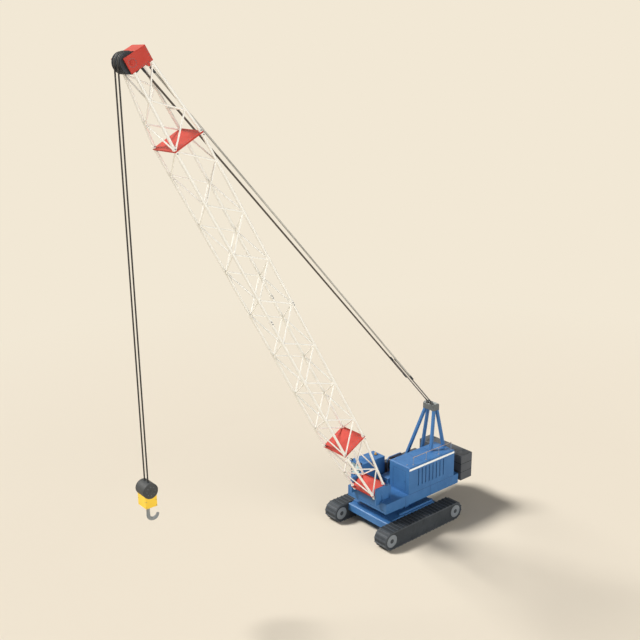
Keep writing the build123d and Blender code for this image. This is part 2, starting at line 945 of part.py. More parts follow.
sheave_centre = on_boom(0, sheave_along, sheave_up)
groove_middle = groove_floor + groove_radius
with BuildPart() as head_sheaves:
    bar(sheave_centre - Vector(stack_half, 0, 0), sheave_centre + Vector(stack_half, 0, 0), sheave_radius)
    bar(
        sheave_centre - Vector(stack_half, 0, 0),
        sheave_centre + Vector(stack_half, 0, 0),
        sheave_pin + running_fit,
        mode=Mode.SUBTRACT,
    )
    for groove in range(groove_count):
        x = (groove - (groove_count - 1) / 2) * groove_pitch
        with BuildSketch(Plane(origin=sheave_centre + Vector(x, 0, 0), x_dir=(1, 0, 0), z_dir=(0, 0, 1))):
            with Locations((0, groove_middle)):
                Circle(groove_radius)
            with BuildLine():
                Polyline(
                    (-groove_radius, groove_middle),
                    (-groove_radius - groove_flare, sheave_radius + 5),
                    (groove_radius + groove_flare, sheave_radius + 5),
                    (groove_radius, groove_middle),
                    close=True,
                )
            make_face()
        revolve(axis=Axis(sheave_centre, (1, 0, 0)), mode=Mode.SUBTRACT)
save(head_sheaves, "head_sheaves")

# ---- pendants and luffing rope ----

head_pin = on_boom(0, pendant_along, pendant_up)
header_pin = Vector(0, header_pin_y, header_pin_z)
line_way = (header_pin - head_pin).normalized()
pendant_length = (header_pin - head_pin).length - pendant_gap
with BuildPart() as pendants:
    for side in (left, right):
        start = head_pin + Vector(side * pendant_head_x, 0, 0)
        end = head_pin + line_way * pendant_length + Vector(side * pendant_low_x, 0, 0)
        way = (end - start).normalized()
        bar(start, end, pendant_radius)
        bar(end - way * socket_length, end, socket_radius)
        bar(
            start - Vector(pendant_radius, 0, 0),
            start + Vector(pendant_radius, 0, 0),
            pendant_eye,
        )
        bar(
            start - Vector(pendant_eye, 0, 0),
            start + Vector(pendant_eye, 0, 0),
            header_pin_radius + running_fit,
            mode=Mode.SUBTRACT,
        )
save(pendants, "boom_pendants")

with BuildPart() as falls:
    for side in (left, right):
        start = header_pin + Vector(side * fall_x, 0, 0)
        bar(start, start - line_way * fall_length, fall_radius)
        bar(start - Vector(fall_radius, 0, 0), start + Vector(fall_radius, 0, 0), fall_eye)
        bar(
            start - Vector(fall_eye, 0, 0),
            start + Vector(fall_eye, 0, 0),
            header_pin_radius + running_fit,
            mode=Mode.SUBTRACT,
        )
save(falls, "luffing_falls")

# ---- hoist rope and hook block ----

rope_y = sheave_centre.Y - groove_floor - rope_clear - rope_radius
with BuildPart() as ropes:
    for side in (left, right):
        bar(
            (side * rope_x, rope_y, block_high + block_radius),
            (side * rope_x, rope_y, sheave_centre.Z),
            rope_radius,
        )
save(ropes, "hoist_ropes")

with BuildPart() as block_sheaves:
    bar((-block_half_width, rope_y, block_high), (block_half_width, rope_y, block_high), block_radius)
    chamfer(block_sheaves.edges().filter_by(GeomType.CIRCLE), 20)
save(block_sheaves, "hook_block_sheaves")

with BuildPart() as block_body:
    block(
        (-block_body_width, block_body_width),
        (rope_y - block_body_depth, rope_y + block_body_depth),
        (block_body_low, block_body_high),
    )
    bar(
        (-wide, rope_y, block_high),
        (wide, rope_y, block_high),
        block_radius + fixed_fit,
        mode=Mode.SUBTRACT,
    )
    bar(
        (0, rope_y, block_body_low),
        (0, rope_y, block_body_low + shank_length + running_fit),
        shank_radius + running_fit,
        mode=Mode.SUBTRACT,
    )
save(block_body, "hook_block_body")

with BuildPart() as hook:
    shoulder = block_body_low - side_gap
    with BuildLine(side_plane(0, rope_y)) as path:
        shank = Line((0, shoulder), (0, hook_centre_z))
        CenterArc((hook_bend, hook_centre_z), hook_bend, 180, hook_sweep)
    with BuildSketch(Plane.XY.offset(shoulder)):
        with Locations((0, rope_y)):
            Circle(hook_radius)
    sweep()
    bar((0, rope_y, shoulder), (0, rope_y, block_body_low + shank_length), shank_radius)
save(hook, "hook")
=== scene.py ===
from math import cos, exp, pi, radians, sin

import bmesh
import bpy
from mathutils import Matrix, Vector


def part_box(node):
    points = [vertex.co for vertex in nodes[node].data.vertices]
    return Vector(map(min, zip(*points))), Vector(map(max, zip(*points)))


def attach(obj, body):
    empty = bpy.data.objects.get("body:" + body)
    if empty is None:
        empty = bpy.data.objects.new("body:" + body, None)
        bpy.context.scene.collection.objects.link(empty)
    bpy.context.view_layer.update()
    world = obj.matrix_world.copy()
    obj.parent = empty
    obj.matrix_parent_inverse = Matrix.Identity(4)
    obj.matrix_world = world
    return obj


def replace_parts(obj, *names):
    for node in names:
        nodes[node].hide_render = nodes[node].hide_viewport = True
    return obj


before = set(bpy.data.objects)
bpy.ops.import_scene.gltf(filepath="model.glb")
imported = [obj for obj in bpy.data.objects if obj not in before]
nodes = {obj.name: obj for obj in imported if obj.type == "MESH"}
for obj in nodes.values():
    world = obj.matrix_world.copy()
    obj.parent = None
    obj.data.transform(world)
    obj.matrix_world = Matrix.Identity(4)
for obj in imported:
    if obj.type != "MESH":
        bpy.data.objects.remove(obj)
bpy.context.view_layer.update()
scene = bpy.context.scene
print("crane loaded:", len(nodes), "nodes")


def fromScreen(shade):  # 0-255 screen colour to linear
    parts = (value / 255 for value in shade)
    return (*(v / 12.92 if v <= 0.04045 else ((v + 0.055) / 1.055) ** 2.4 for v in parts), 1)


def feed(tree, socket, value):  # a socket takes a number, a node, or one output of a node
    if isinstance(value, bpy.types.Node):
        value = value.outputs[0]
    if isinstance(value, bpy.types.NodeSocket):
        tree.links.new(value, socket)
    else:
        socket.default_value = value


def put(tree, kind, feeds=None, **settings):
    node = tree.nodes.new(kind)
    for key, value in settings.items():
        setattr(node, key, value)
    for key, value in (feeds or {}).items():
        feed(tree, node.inputs[key], value)
    return node


def maths(tree, operation, first, second=0.0):
    return put(tree, "ShaderNodeMath", {0: first, 1: second}, operation=operation)


def objectPlace(tree):
    return put(tree, "ShaderNodeTexCoord").outputs["Object"]


def partsOf(tree, vector):  # its X, Y and Z by name
    return put(tree, "ShaderNodeSeparateXYZ", {0: vector}).outputs


def noiseOn(tree, scale, detail, stretch=(1, 1, 1)):
    place = put(tree, "ShaderNodeMapping", {"Vector": objectPlace(tree), "Scale": stretch})
    feeds = {"Vector": place, "Scale": scale, "Detail": detail, "Roughness": 0.55}
    return put(tree, "ShaderNodeTexNoise", feeds).outputs["Fac"]


def between(tree, value, low, high, toLow=0.0, toHigh=1.0):
    feeds = {"Value": value, "From Min": low, "From Max": high, "To Min": toLow, "To Max": toHigh}
    return put(tree, "ShaderNodeMapRange", feeds)


def mixed(tree, amount, first, second):
    first, second = (fromScreen(shade) if isinstance(shade, tuple) else shade for shade in (first, second))
    return put(tree, "ShaderNodeMix", {0: amount, 6: first, 7: second}, data_type="RGBA").outputs[2]


def relief(tree, height, strength, distance):
    return put(tree, "ShaderNodeBump", {"Height": height, "Strength": strength, "Distance": distance})


def paint(tree, colour, faded, grime, gloss, grain=0.04):  # soft patches, streaks that run down, and specks
    patches = between(tree, noiseOn(tree, 1.3, 4), 0.35, 0.7)
    streaks = between(tree, noiseOn(tree, 5, 6, (1, 1, 0.16)), 0.58, 0.82, 0, 0.55)
    specks = between(tree, noiseOn(tree, 46, 3), 0.66, 0.76, 0, 0.5)
    base = mixed(tree, streaks, mixed(tree, patches, colour, faded), grime)
    return {
        "Base Color": mixed(tree, specks, base, grime),
        "Roughness": between(tree, noiseOn(tree, 9, 5), 0.3, 0.75, gloss - 0.08, gloss + 0.14),
        "Specular IOR Level": 0.3,
        "Normal": relief(tree, noiseOn(tree, 220, 2), grain, 0.01),
    }


trackLoop = {"wheelSpacing": 5.0, "axleHeight": 0.5375, "radius": 0.4995}


def trackShoes(tree, *facts):  # plates darker than the bars along the runs, a painted shade in the gaps between the bars, told apart by their height off the loop
    sockets = paint(tree, *facts)
    spot = partsOf(tree, objectPlace(tree))
    fromMiddle = maths(tree, "ABSOLUTE", spot["Y"])
    pastWheel = maths(tree, "MAXIMUM", maths(tree, "SUBTRACT", fromMiddle, trackLoop["wheelSpacing"] / 2))
    rise = maths(tree, "SUBTRACT", spot["Z"], trackLoop["axleHeight"])
    offLoop = put(tree, "ShaderNodeCombineXYZ", {"Y": pastWheel, "Z": rise})
    reach = put(tree, "ShaderNodeVectorMath", {0: offLoop}, operation="LENGTH").outputs["Value"]
    sideways = maths(tree, "ABSOLUTE", partsOf(tree, put(tree, "ShaderNodeNewGeometry").outputs["Normal"])["X"])
    # painted shade: the plates between the bars are darkened as if shaded by them, but not on side faces or round
    # the wheels
    gapShade = between(tree, reach, 0.502, 0.512, 1.0, 0.0)
    for limit in (between(tree, sideways, 0.4, 0.6, 1.0, 0.0), between(tree, pastWheel, 0.0, 0.12, 1.0, 0.0)):
        gapShade = maths(tree, "MULTIPLY", gapShade, limit)
    return {**sockets, "Base Color": mixed(tree, gapShade, sockets["Base Color"], (33, 36, 40))}


def railing(tree, *facts):  # pale along the top bar, the deck's blue down the posts
    sockets = paint(tree, *facts)
    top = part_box("handrail")[1].z
    low = between(tree, partsOf(tree, objectPlace(tree))["Z"], top - 0.16, top - 0.08, 0.75, 0.0)
    return {**sockets, "Base Color": mixed(tree, low, sockets["Base Color"], (96, 136, 178))}


def wireRope(tree, colour, grime, lean, farSideShade=None):  # strands as slanting bands; a far-side colour, where given, paints the rope on the far side (X below zero) darker as painted shade
    turned = put(tree, "ShaderNodeMapping", {"Vector": objectPlace(tree), "Rotation": (radians(lean), 0, 0)})
    feeds = {"Vector": turned, "Scale": 9, "Distortion": 0.4, "Detail": 1}
    strands = put(tree, "ShaderNodeTexWave", feeds).outputs["Fac"]
    soot = between(tree, noiseOn(tree, 3, 5), 0.5, 0.8, 0, 0.6)
    base = mixed(tree, soot, mixed(tree, strands, grime, colour), grime)
    if farSideShade:
        base = mixed(tree, between(tree, partsOf(tree, objectPlace(tree))["X"], -0.05, 0.05), farSideShade, base)
    return {"Base Color": base, "Metallic": 0.1, "Roughness": 0.5, "Normal": relief(tree, strands, 0.6, 0.004)}


def clearGlass(tree, colour, through, rough):
    tone = between(tree, noiseOn(tree, 1.5, 3), 0.3, 0.8)
    return {
        "Base Color": mixed(tree, tone, colour, tuple(min(255, value + 14) for value in colour)),
        "Roughness": between(tree, noiseOn(tree, 3, 4), 0.4, 0.8, rough, rough + 0.1),
        "Transmission Weight": through,
        "IOR": 1.45,
    }


def cloth(tree, colour, grime):
    weave = noiseOn(tree, 420, 2)
    base = mixed(tree, between(tree, weave, 0.3, 0.7), grime, colour)
    return {
        "Base Color": base, "Roughness": 0.85, "Sheen Weight": 0.3, "Normal": relief(tree, weave, 0.35, 0.002),
    }


# how each is made, its slot name, then what it takes: a paint takes its colour, what that fades to,
# its grime, how rough it is and how strong its grain
finishes = {
    "bluePaint": (paint, "blue_paint", (59, 108, 161), (67, 117, 170), (45, 86, 132), 0.46),
    "redPaint": (paint, "red_paint", (186, 57, 44), (193, 67, 54), (146, 42, 32), 0.48),
    "ivoryPaint": (paint, "ivory_paint", (247, 245, 237), (250, 248, 241), (241, 238, 229), 0.45),
    "yellowPaint": (paint, "yellow_paint", (246, 202, 58), (250, 210, 76), (206, 156, 44), 0.45),
    "ballastPaint": (paint, "ballast_paint", (77, 81, 87), (86, 90, 95), (60, 62, 65), 0.6, 0.2),
    "winchPaint": (paint, "ballast_paint", (150, 141, 142), (160, 151, 151), (112, 104, 104), 0.55),
    "headerPaint": (paint, "ballast_paint", (92, 97, 97), (102, 107, 106), (70, 73, 73), 0.5),
    "drumPaint": (paint, "ballast_paint", (62, 64, 65), (71, 73, 74), (48, 49, 49), 0.55),
    "darkSteel": (paint, "dark_steel", (50, 55, 60), (60, 65, 70), (36, 37, 38), 0.62),
    "hubPaint": (paint, "hub_paint", (120, 127, 133), (132, 138, 143), (88, 92, 95), 0.5),
    "railPaint": (paint, "blue_paint", (158, 146, 140), (170, 158, 150), (118, 108, 102), 0.5),
    "handrailPaint": (railing, "blue_paint", (158, 146, 140), (170, 158, 150), (118, 108, 102), 0.5),
    "whitePaint": (paint, "blue_paint", (246, 249, 247), (252, 253, 251), (230, 231, 226), 0.4),
    # a paler blue painted on as highlights along lit edges
    "highlightBlue": (paint, "blue_paint", (108, 146, 188), (120, 157, 198), (84, 120, 162), 0.5),
    "deepBlue": (paint, "blue_paint", (36, 64, 102), (44, 73, 112), (27, 46, 74), 0.5),
    "gasket": (paint, "lamp_housing", (28, 29, 31), (37, 38, 40), (19, 19, 19), 0.75),
    "hookSteel": (paint, "hook_steel", (134, 139, 142), (148, 153, 156), (98, 100, 100), 0.5, 0.18),
    # a paler grey painted on the header's top as the light it catches
    "headerTopLight": (paint, "ballast_paint", (142, 148, 146), (154, 160, 157), (108, 112, 110), 0.5),
    "boltSteel": (paint, "pin_steel", (98, 103, 108), (118, 123, 128), (62, 61, 60), 0.45),
    # the plates between the bars of the track get painted shade
    "trackSteel": (trackShoes, "track_steel", (68, 73, 79), (80, 85, 90), (52, 53, 54), 0.6, 0.25),
    "darkRope": (wireRope, "rope_steel", (50, 47, 43), (30, 28, 26), 90),
    "greyRope": (wireRope, "rope_steel", (132, 128, 128), (84, 82, 82), 48),
    # the last colour darkens the far pendant, a painted shade on the same rope
    "paleRope": (wireRope, "rope_steel", (196, 195, 188), (150, 149, 143), 48, (78, 72, 66)),
    "cabGlass": (clearGlass, "cab_glazing", (204, 236, 242), 0.3, 0.04),
    "lampGlass": (clearGlass, "lamp_housing", (226, 232, 236), 0.3, 0.08),
    "amberLens": (clearGlass, "amber_lens", (242, 188, 96), 0.25, 0.16),
    "seatCloth": (cloth, "seat_trim", (58, 60, 66), (40, 41, 46)),
}
materials = {}
for name, (make, _, *facts) in finishes.items():
    materials[name] = bpy.data.materials.new(name)
    materials[name].use_nodes = True
    tree = materials[name].node_tree
    for key, value in make(tree, *facts).items():
        feed(tree, tree.nodes["Principled BSDF"].inputs[key], value)
print("finishes made:", len(materials))

nodeFinish = {
    "bluePaint": "carbody deck boom_foot_brackets boom_foot_pins cab_platform engine_house cab cab_door "
    "battery_box gantry_front_legs gantry_rear_legs",
    "redPaint": "boom_foot boom_splice_plates boom_head head_axle",
    "ivoryPaint": "boom_butt_chords boom_butt_lacing boom_lower_insert_chords boom_lower_insert_lacing "
    "boom_upper_insert_chords boom_upper_insert_lacing boom_top_chords boom_top_lacing",
    "yellowPaint": "hook_block_body",
    "ballastPaint": "counterweight_1 counterweight_2 counterweight_3 service_tank",
    "drumPaint": "hook_block_sheaves",
    "winchPaint": "winch_frame",
    "headerPaint": "gantry_header",
    "handrailPaint": "handrail",
    "darkSteel": "left_track_frame right_track_frame left_end_wheels right_end_wheels counterweight_hangers "
    "hoist_drum luffing_drum head_sheaves engine door_hinges slewing_ring",
    "trackSteel": "left_track right_track",
    "darkRope": "hoist_ropes",
    "greyRope": "luffing_falls",
    "paleRope": "boom_pendants",
    "hookSteel": "hook",
    "cabGlass": "cab_glass door_glass",
    "amberLens": "beacon",
    "gasket": "work_lights control_consoles",
    "seatCloth": "operator_seat",
}
for finish, names in nodeFinish.items():
    for nodeName in names.split():
        nodes[nodeName].data.materials.clear()
        nodes[nodeName].data.materials.append(materials[finish])


def addBox(shape, low, high, bevel=0.0):  # any two opposite corners
    size = Vector(high) - Vector(low)
    size = Vector([abs(length) for length in size])
    place = Matrix.Translation((Vector(high) + Vector(low)) / 2) @ Matrix.Diagonal((*size, 1))
    made = bmesh.ops.create_cube(shape, size=1, matrix=place)
    if bevel:
        edges = list({edge for vert in made["verts"] for edge in vert.link_edges})
        look = {"segments": 2, "affect": "EDGES", "profile": 0.5, "clamp_overlap": True}
        bmesh.ops.bevel(shape, geom=edges, offset=bevel, **look)


def addRod(shape, start, end, radius, sides=16):
    start, end = Vector(start), Vector(end)
    turn = (end - start).to_track_quat("Z", "Y").to_matrix().to_4x4()
    place = Matrix.Translation((start + end) / 2) @ turn
    size = {"radius1": radius, "radius2": radius, "depth": (end - start).length}
    bmesh.ops.create_cone(shape, cap_ends=True, segments=sides, matrix=place, **size)


def ringPoints(radius, steps):
    return [(radius * cos(2 * pi * i / steps), radius * sin(2 * pi * i / steps)) for i in range(steps)]


def addTurned(shape, profile, place, steps=40):  # profile of (radius, height) turned about local Z
    closed = profile[0] == profile[-1]
    rings = []
    for radius, height in profile[:-1] if closed else profile:
        around = ringPoints(radius, steps) if radius > 1e-6 else [(0, 0)]
        rings.append([shape.verts.new(place @ Vector((x, y, height))) for x, y in around])
    if closed:
        rings.append(rings[0])
    for lower, upper in zip(rings, rings[1:]):
        for i in range(steps):
            j = (i + 1) % steps
            corners = (lower[i % len(lower)], lower[j % len(lower)], upper[j % len(upper)], upper[i % len(upper)])
            corners = list(dict.fromkeys(corners))
            if len(corners) > 2:
                shape.faces.new(corners)


def collar(inner, outer, high, slant=0.01, edge=0.006):  # the profile of a ring or a button with a sloping rim
    profile = [(inner, high), (outer - slant, high), (outer, edge), (outer, 0), (inner, 0)]
    return profile + profile[:1] if inner else profile


def addTube(shape, points, radius, sides=10):  # radius is one number, or one for each point
    points = [Vector(p) for p in points]
    radii = radius if isinstance(radius, list) else [radius] * len(points)
    last = len(points) - 1
    side = (points[1] - points[0]).orthogonal()
    rings = []
    for i, point in enumerate(points):
        way = (points[min(i + 1, last)] - points[max(i - 1, 0)]).normalized()
        side = (side - way * side.dot(way)).normalized()
        up = way.cross(side)
        rings.append([shape.verts.new(point + side * x + up * y) for x, y in ringPoints(radii[i], sides)])
    for lower, upper in zip(rings, rings[1:]):
        for k in range(sides):
            j = (k + 1) % sides
            shape.faces.new((lower[k], lower[j], upper[j], upper[k]))
    shape.faces.new(rings[0][::-1])
    shape.faces.new(rings[-1])


def addPrism(shape, outline, place, height):  # an outline in local X and Y, drawn out along local Z
    lower, upper = ([shape.verts.new(place @ Vector((x, y, z))) for x, y in outline] for z in (0, height))
    shape.faces.new(lower)
    shape.faces.new(upper)
    for i in range(len(outline)):
        j = (i + 1) % len(outline)
        shape.faces.new((lower[i], lower[j], upper[j], upper[i]))


def addGusset(shape, place, foot, top):  # a plate that leans back from its foot to its top
    addPrism(shape, ((0, 0), (foot, 0), (foot, 0.04), (top, 0.3), (0, 0.3)), place, 0.018)


def addStaple(shape, first, last, out, radius):  # a square handle between two feet
    first, last, out = Vector(first), Vector(last), Vector(out)
    addTube(shape, (first, first + out, last + out, last), radius)


def addEye(shape, x, y, z, reach, radius, steps):  # a half ring to lift by
    turns = [pi * i / steps for i in range(steps + 1)]
    addTube(shape, [(x, y + reach * cos(turn), z + reach * sin(turn)) for turn in turns], radius)


def framed(place, zWay, xWay):  # a placement from where local Z and local X look
    z, x = Vector(zWay).normalized(), Vector(xWay).normalized()
    return Matrix.Translation(place) @ Matrix((x, z.cross(x), z)).transposed().to_4x4()


def facing(place, way):  # a placement whose local Z looks along way
    return Matrix.Translation(place) @ Vector(way).to_track_quat("Z", "Y").to_matrix().to_4x4()


def acrossX(x, y, z):  # local X, Y and Z look along Y, Z and X
    return Matrix(((0, 0, 1, x), (1, 0, 0, y), (0, 1, 0, z), (0, 0, 0, 1)))


def standing(place):
    return framed(place, (0, 0, 1), (1, 0, 0))


rubber = {"inner": 0.012, "outer": 0.022, "depth": 0.02, "proud": 0.007}


def addFrame(shape, axis, face, across, height, way):  # a rubber frame round an opening that faces along axis
    inner, outer = rubber["inner"], rubber["outer"]
    sides = (
        ((across[0] - outer, height[0] - outer), (across[0] + inner, height[1] + outer)),
        ((across[1] - inner, height[0] - outer), (across[1] + outer, height[1] + outer)),
        ((across[0] + inner, height[0] - outer), (across[1] - inner, height[0] + inner)),
        ((across[0] + inner, height[1] - inner), (across[1] - inner, height[1] + outer)),
    )
    near, far = face + way * rubber["proud"], face - way * rubber["depth"]
    for (a, low), (b, high) in sides:
        corners = ((a, near, low), (b, far, high)) if axis == "Y" else ((near, a, low), (far, b, high))
        addBox(shape, *corners, 0.003)


def ridden(name, mesh, finish, body, sharp):  # sharp is the angle past which an edge of a smooth mesh stays sharp
    mesh.materials.clear()
    mesh.materials.append(materials[finish])
    if sharp:
        mesh.shade_smooth()
        mesh.set_sharp_from_angle(angle=radians(sharp))
    piece = bpy.data.objects.new(name, mesh)
    scene.collection.objects.link(piece)
    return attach(piece, body)


def finished(name, shape, finish, body="upperworks", smooth=False, outward=True):
    if outward:
        bmesh.ops.recalc_face_normals(shape, faces=shape.faces)
    mesh = bpy.data.meshes.new(name)
    shape.to_mesh(mesh)
    shape.free()
    return ridden(name, mesh, finish, body, 35 if smooth else 0)


inputKinds = {
    "Count": "Int", "Steps": "Int", "Across": "Int", "Along": "Int",
    "Step": "Vector", "Size": "Vector", "Plate": "Vector", "Bolt Spread": "Vector", "Lozenge": "Vector",
    "Finish": "Material",
}


def grower(name, labels, wiring, seeded=False):  # a tree with named inputs; wiring gives what it builds
    tree = bpy.data.node_groups.new(name, "GeometryNodeTree")
    tree.interface.new_socket("Geometry", in_out="OUTPUT", socket_type="NodeSocketGeometry")
    if seeded:
        tree.interface.new_socket("Geometry", in_out="INPUT", socket_type="NodeSocketGeometry")
    for label in (*labels, "Finish"):
        kind = "NodeSocket" + inputKinds.get(label, "Float")
        tree.interface.new_socket(label, in_out="INPUT", socket_type=kind)
    start = put(tree, "NodeGroupInput").outputs
    real = put(tree, "GeometryNodeRealizeInstances", {0: wiring(tree, start)})
    dressed = put(tree, "GeometryNodeSetMaterial", {"Geometry": real, "Material": start["Finish"]})
    put(tree, "NodeGroupOutput", {0: dressed})
    return tree


def joined(tree, *meshes):
    both = put(tree, "GeometryNodeJoinGeometry")
    for mesh in meshes:
        feed(tree, both.inputs[0], mesh)
    return both


def drum(tree, sides, radius, depth):
    return put(tree, "GeometryNodeMeshCylinder", {"Vertices": sides, "Radius": radius, "Depth": depth})


def spread(tree, points, item, **more):
    return put(tree, "GeometryNodeInstanceOnPoints", {"Points": points, "Instance": item, **more})


def inLine(tree, start, item):
    line = put(tree, "GeometryNodeMeshLine", {"Count": start["Count"], "Offset": start["Step"]})
    return spread(tree, line, item)


def asRope(tree, path, radius, sides):
    section = put(tree, "GeometryNodeCurvePrimitiveCircle", {"Resolution": sides, "Radius": radius})
    feeds = {"Curve": path, "Profile Curve": section, "Fill Caps": True}
    return put(tree, "GeometryNodeCurveToMesh", feeds)


def hexBolt(tree, start):  # a hexagon head on a washer, standing on local Z
    size, high = start["Head Radius"], start["Head Height"]
    washer = drum(tree, 14, maths(tree, "MULTIPLY", size, 1.35), maths(tree, "MULTIPLY", high, 0.35))
    return joined(tree, drum(tree, 6, size, high), washer)


def boltsInRing(tree, start):
    circle = put(tree, "GeometryNodeMeshCircle", {"Vertices": start["Count"], "Radius": start["Ring Radius"]})
    return spread(tree, circle, hexBolt(tree, start))


def arcsInLine(tree, start):
    feeds = {"Radius": start["Radius"], "Start Angle": start["Start"], "Sweep Angle": start["Sweep"]}
    arc = put(tree, "GeometryNodeCurveArc", {**feeds, "Resolution": 40})
    return inLine(tree, start, asRope(tree, arc, start["Rope Radius"], 10))


def coilOfRope(tree, start):
    feeds = {
        "Rotations": start["Turns"], "Start Radius": start["Radius"], "End Radius": start["Radius"],
        "Height": start["Length"], "Resolution": start["Steps"],
    }
    return asRope(tree, put(tree, "GeometryNodeCurveSpiral", feeds), start["Rope Radius"], 8)


def platesRound(tree, start):  # one bolted plate on every shoe, along the path round both wheels
    double = maths(tree, "MULTIPLY", start["Loop Radius"], 2)
    feeds = {"Width": maths(tree, "ADD", start["Length"], double), "Height": double}
    outline = put(tree, "GeometryNodeCurvePrimitiveQuadrilateral", feeds)
    feeds = {"Curve": outline, "Radius": start["Loop Radius"], "Count": 24}
    loop = put(tree, "GeometryNodeFilletCurve", feeds, mode="POLY")
    line = put(tree, "GeometryNodeMeshLine", {"Count": start["Count"]})
    index = maths(tree, "ADD", put(tree, "GeometryNodeInputIndex"), start["Phase"])
    feeds = {"Curves": loop, "Factor": maths(tree, "DIVIDE", index, start["Count"])}
    sample = put(tree, "GeometryNodeSampleCurve", feeds, mode="FACTOR").outputs
    feeds = {"Geometry": line, "Name": "loopWay", "Value": sample["Tangent"]}
    kept = put(tree, "GeometryNodeStoreNamedAttribute", feeds, data_type="FLOAT_VECTOR")
    points = put(tree, "GeometryNodeSetPosition", {"Geometry": kept, "Position": sample["Position"]})
    way = put(tree, "GeometryNodeInputNamedAttribute", {"Name": "loopWay"}, data_type="FLOAT_VECTOR")
    feeds = {"Primary Axis": way, "Secondary Axis": (0, 0, 1)}
    turn = put(tree, "FunctionNodeAxesToRotation", feeds, primary_axis="X", secondary_axis="Y")
    span = partsOf(tree, start["Bolt Spread"])
    feeds = {"Vertices X": 2, "Vertices Y": 4, "Size X": span["X"], "Size Y": span["Y"]}
    studs = spread(
        tree, put(tree, "GeometryNodeMeshGrid", feeds), drum(tree, 6, start["Bolt Radius"], start["Bolt Height"])
    )
    shoe = joined(tree, put(tree, "GeometryNodeMeshCube", {"Size": start["Plate"]}), studs)
    return spread(tree, points, shoe, Rotation=turn)


def beadsOnRods(tree, start):  # a weld collar at both ends of every rod, from a mesh of one edge for each rod
    rods = put(tree, "GeometryNodeMeshToCurve", {0: start["Geometry"]})
    heading = put(tree, "GeometryNodeInputTangent")
    feeds = {
        "Vertices": 12, "Radius Top": start["Rod Radius"], "Radius Bottom": start["Collar Radius"],
        "Depth": start["Length"],
    }
    bead = put(tree, "GeometryNodeMeshCone", feeds)
    rows = []
    for sign in (1, -1):
        flip = put(tree, "ShaderNodeVectorMath", {0: heading, "Scale": sign}, operation="SCALE")
        lean = put(tree, "FunctionNodeAlignRotationToVector", {"Vector": flip}, axis="Z")
        ends = {"Start Size": int(sign > 0), "End Size": int(sign < 0)}
        endOnly = put(tree, "GeometryNodeCurveEndpointSelection", ends)
        rows.append(spread(tree, rods, bead, Selection=endOnly, Rotation=lean))
    return joined(tree, *rows)


def lozenges(tree, start):  # rows of them that lean left and right by turns
    feeds = {"Vertices X": start["Across"], "Vertices Y": start["Along"]}
    feeds.update({"Size X": start["Width"], "Size Y": start["Depth"]})
    field = put(tree, "GeometryNodeMeshGrid", feeds)
    feeds = {"Vertices": 4, "Radius Bottom": 1.0, "Radius Top": 0.6, "Depth": 1.0}
    lozenge = put(tree, "GeometryNodeMeshCone", feeds)
    parity = maths(tree, "MODULO", put(tree, "GeometryNodeInputIndex"), 2)
    lean = put(tree, "ShaderNodeMapRange", {"Value": parity, "To Min": radians(45), "To Max": radians(-45)})
    turn = put(tree, "ShaderNodeCombineXYZ", {"Z": lean})
    return spread(tree, field, lozenge, Rotation=turn, Scale=start["Lozenge"])


def slatsInLine(tree, start):
    return inLine(tree, start, put(tree, "GeometryNodeMeshCube", {"Size": start["Size"]}))


def discsInLine(tree, start):
    return inLine(tree, start, drum(tree, 28, start["Radius"], start["Thickness"]))


def boltsInLine(tree, start):
    return inLine(tree, start, hexBolt(tree, start))


boltLabels = ("Count", "Head Radius", "Head Height")
shoeLabels = ("Count", "Phase", "Length", "Loop Radius", "Plate", "Bolt Radius", "Bolt Height", "Bolt Spread")
boltRing = grower("boltRing", (*boltLabels, "Ring Radius"), boltsInRing)
boltRow = grower("boltRow", (*boltLabels, "Step"), boltsInLine)
slatRow = grower("slatRow", ("Count", "Step", "Size"), slatsInLine)
discRow = grower("discRow", ("Count", "Step", "Radius", "Thickness"), discsInLine)
ropeCoil = grower("ropeCoil", ("Turns", "Radius", "Length", "Rope Radius", "Steps"), coilOfRope)
ropeArcs = grower("ropeArcs", ("Count", "Step", "Radius", "Start", "Sweep", "Rope Radius"), arcsInLine)
shoeLoop = grower("shoeLoop", shoeLabels, platesRound)
weldCollars = grower("weldCollars", ("Rod Radius", "Collar Radius", "Length"), beadsOnRods, True)
treadPlate = grower("treadPlate", ("Across", "Along", "Width", "Depth", "Lozenge"), lozenges)


def grow(tree, finish, seed=None, **values):  # the tree's result as a plain mesh
    holder = bpy.data.objects.new("seed", seed or bpy.data.meshes.new("seed"))
    scene.collection.objects.link(holder)
    modifier = holder.modifiers.new("grow", "NODES")
    modifier.node_group = tree
    values["Finish"] = materials[finish]
    for item in tree.interface.items_tree:
        if item.in_out == "INPUT" and item.socket_type != "NodeSocketGeometry":
            modifier[item.identifier] = values[item.name.replace(" ", "")]
    evaluated = holder.evaluated_get(bpy.context.evaluated_depsgraph_get())
    mesh = bpy.data.meshes.new_from_object(evaluated)
    holder.modifiers.remove(modifier)
    bpy.data.objects.remove(holder)
    return mesh


def planted(name, grown, finish, body="upperworks", smooth=False):  # grown is a list of (mesh, place)
    shape = bmesh.new()
    for mesh, place in grown:
        mesh.transform(place)
        shape.from_mesh(mesh)
        bpy.data.meshes.remove(mesh)
    mesh = bpy.data.meshes.new(name)
    shape.to_mesh(mesh)
    shape.free()
    for face in mesh.polygons:
        face.material_index = 0
    return ridden(name, mesh, finish, body, 40 if smooth else 0)


def boltLine(count, first, step, size, way=(0, 0, 1)):  # bolt heads in a row, as tall as their radius
    place = facing(first, way)
    local = place.to_3x3().inverted() @ Vector(step)
    return [(grow(boltRow, "boltSteel", Count=count, HeadRadius=size, HeadHeight=size, Step=tuple(local)), place)]


def boltCircle(count, centre, way, radius, size):
    heads = grow(boltRing, "boltSteel", Count=count, HeadRadius=size, HeadHeight=size, RingRadius=radius)
    return [(heads, facing(centre, way))]


print("trees built")


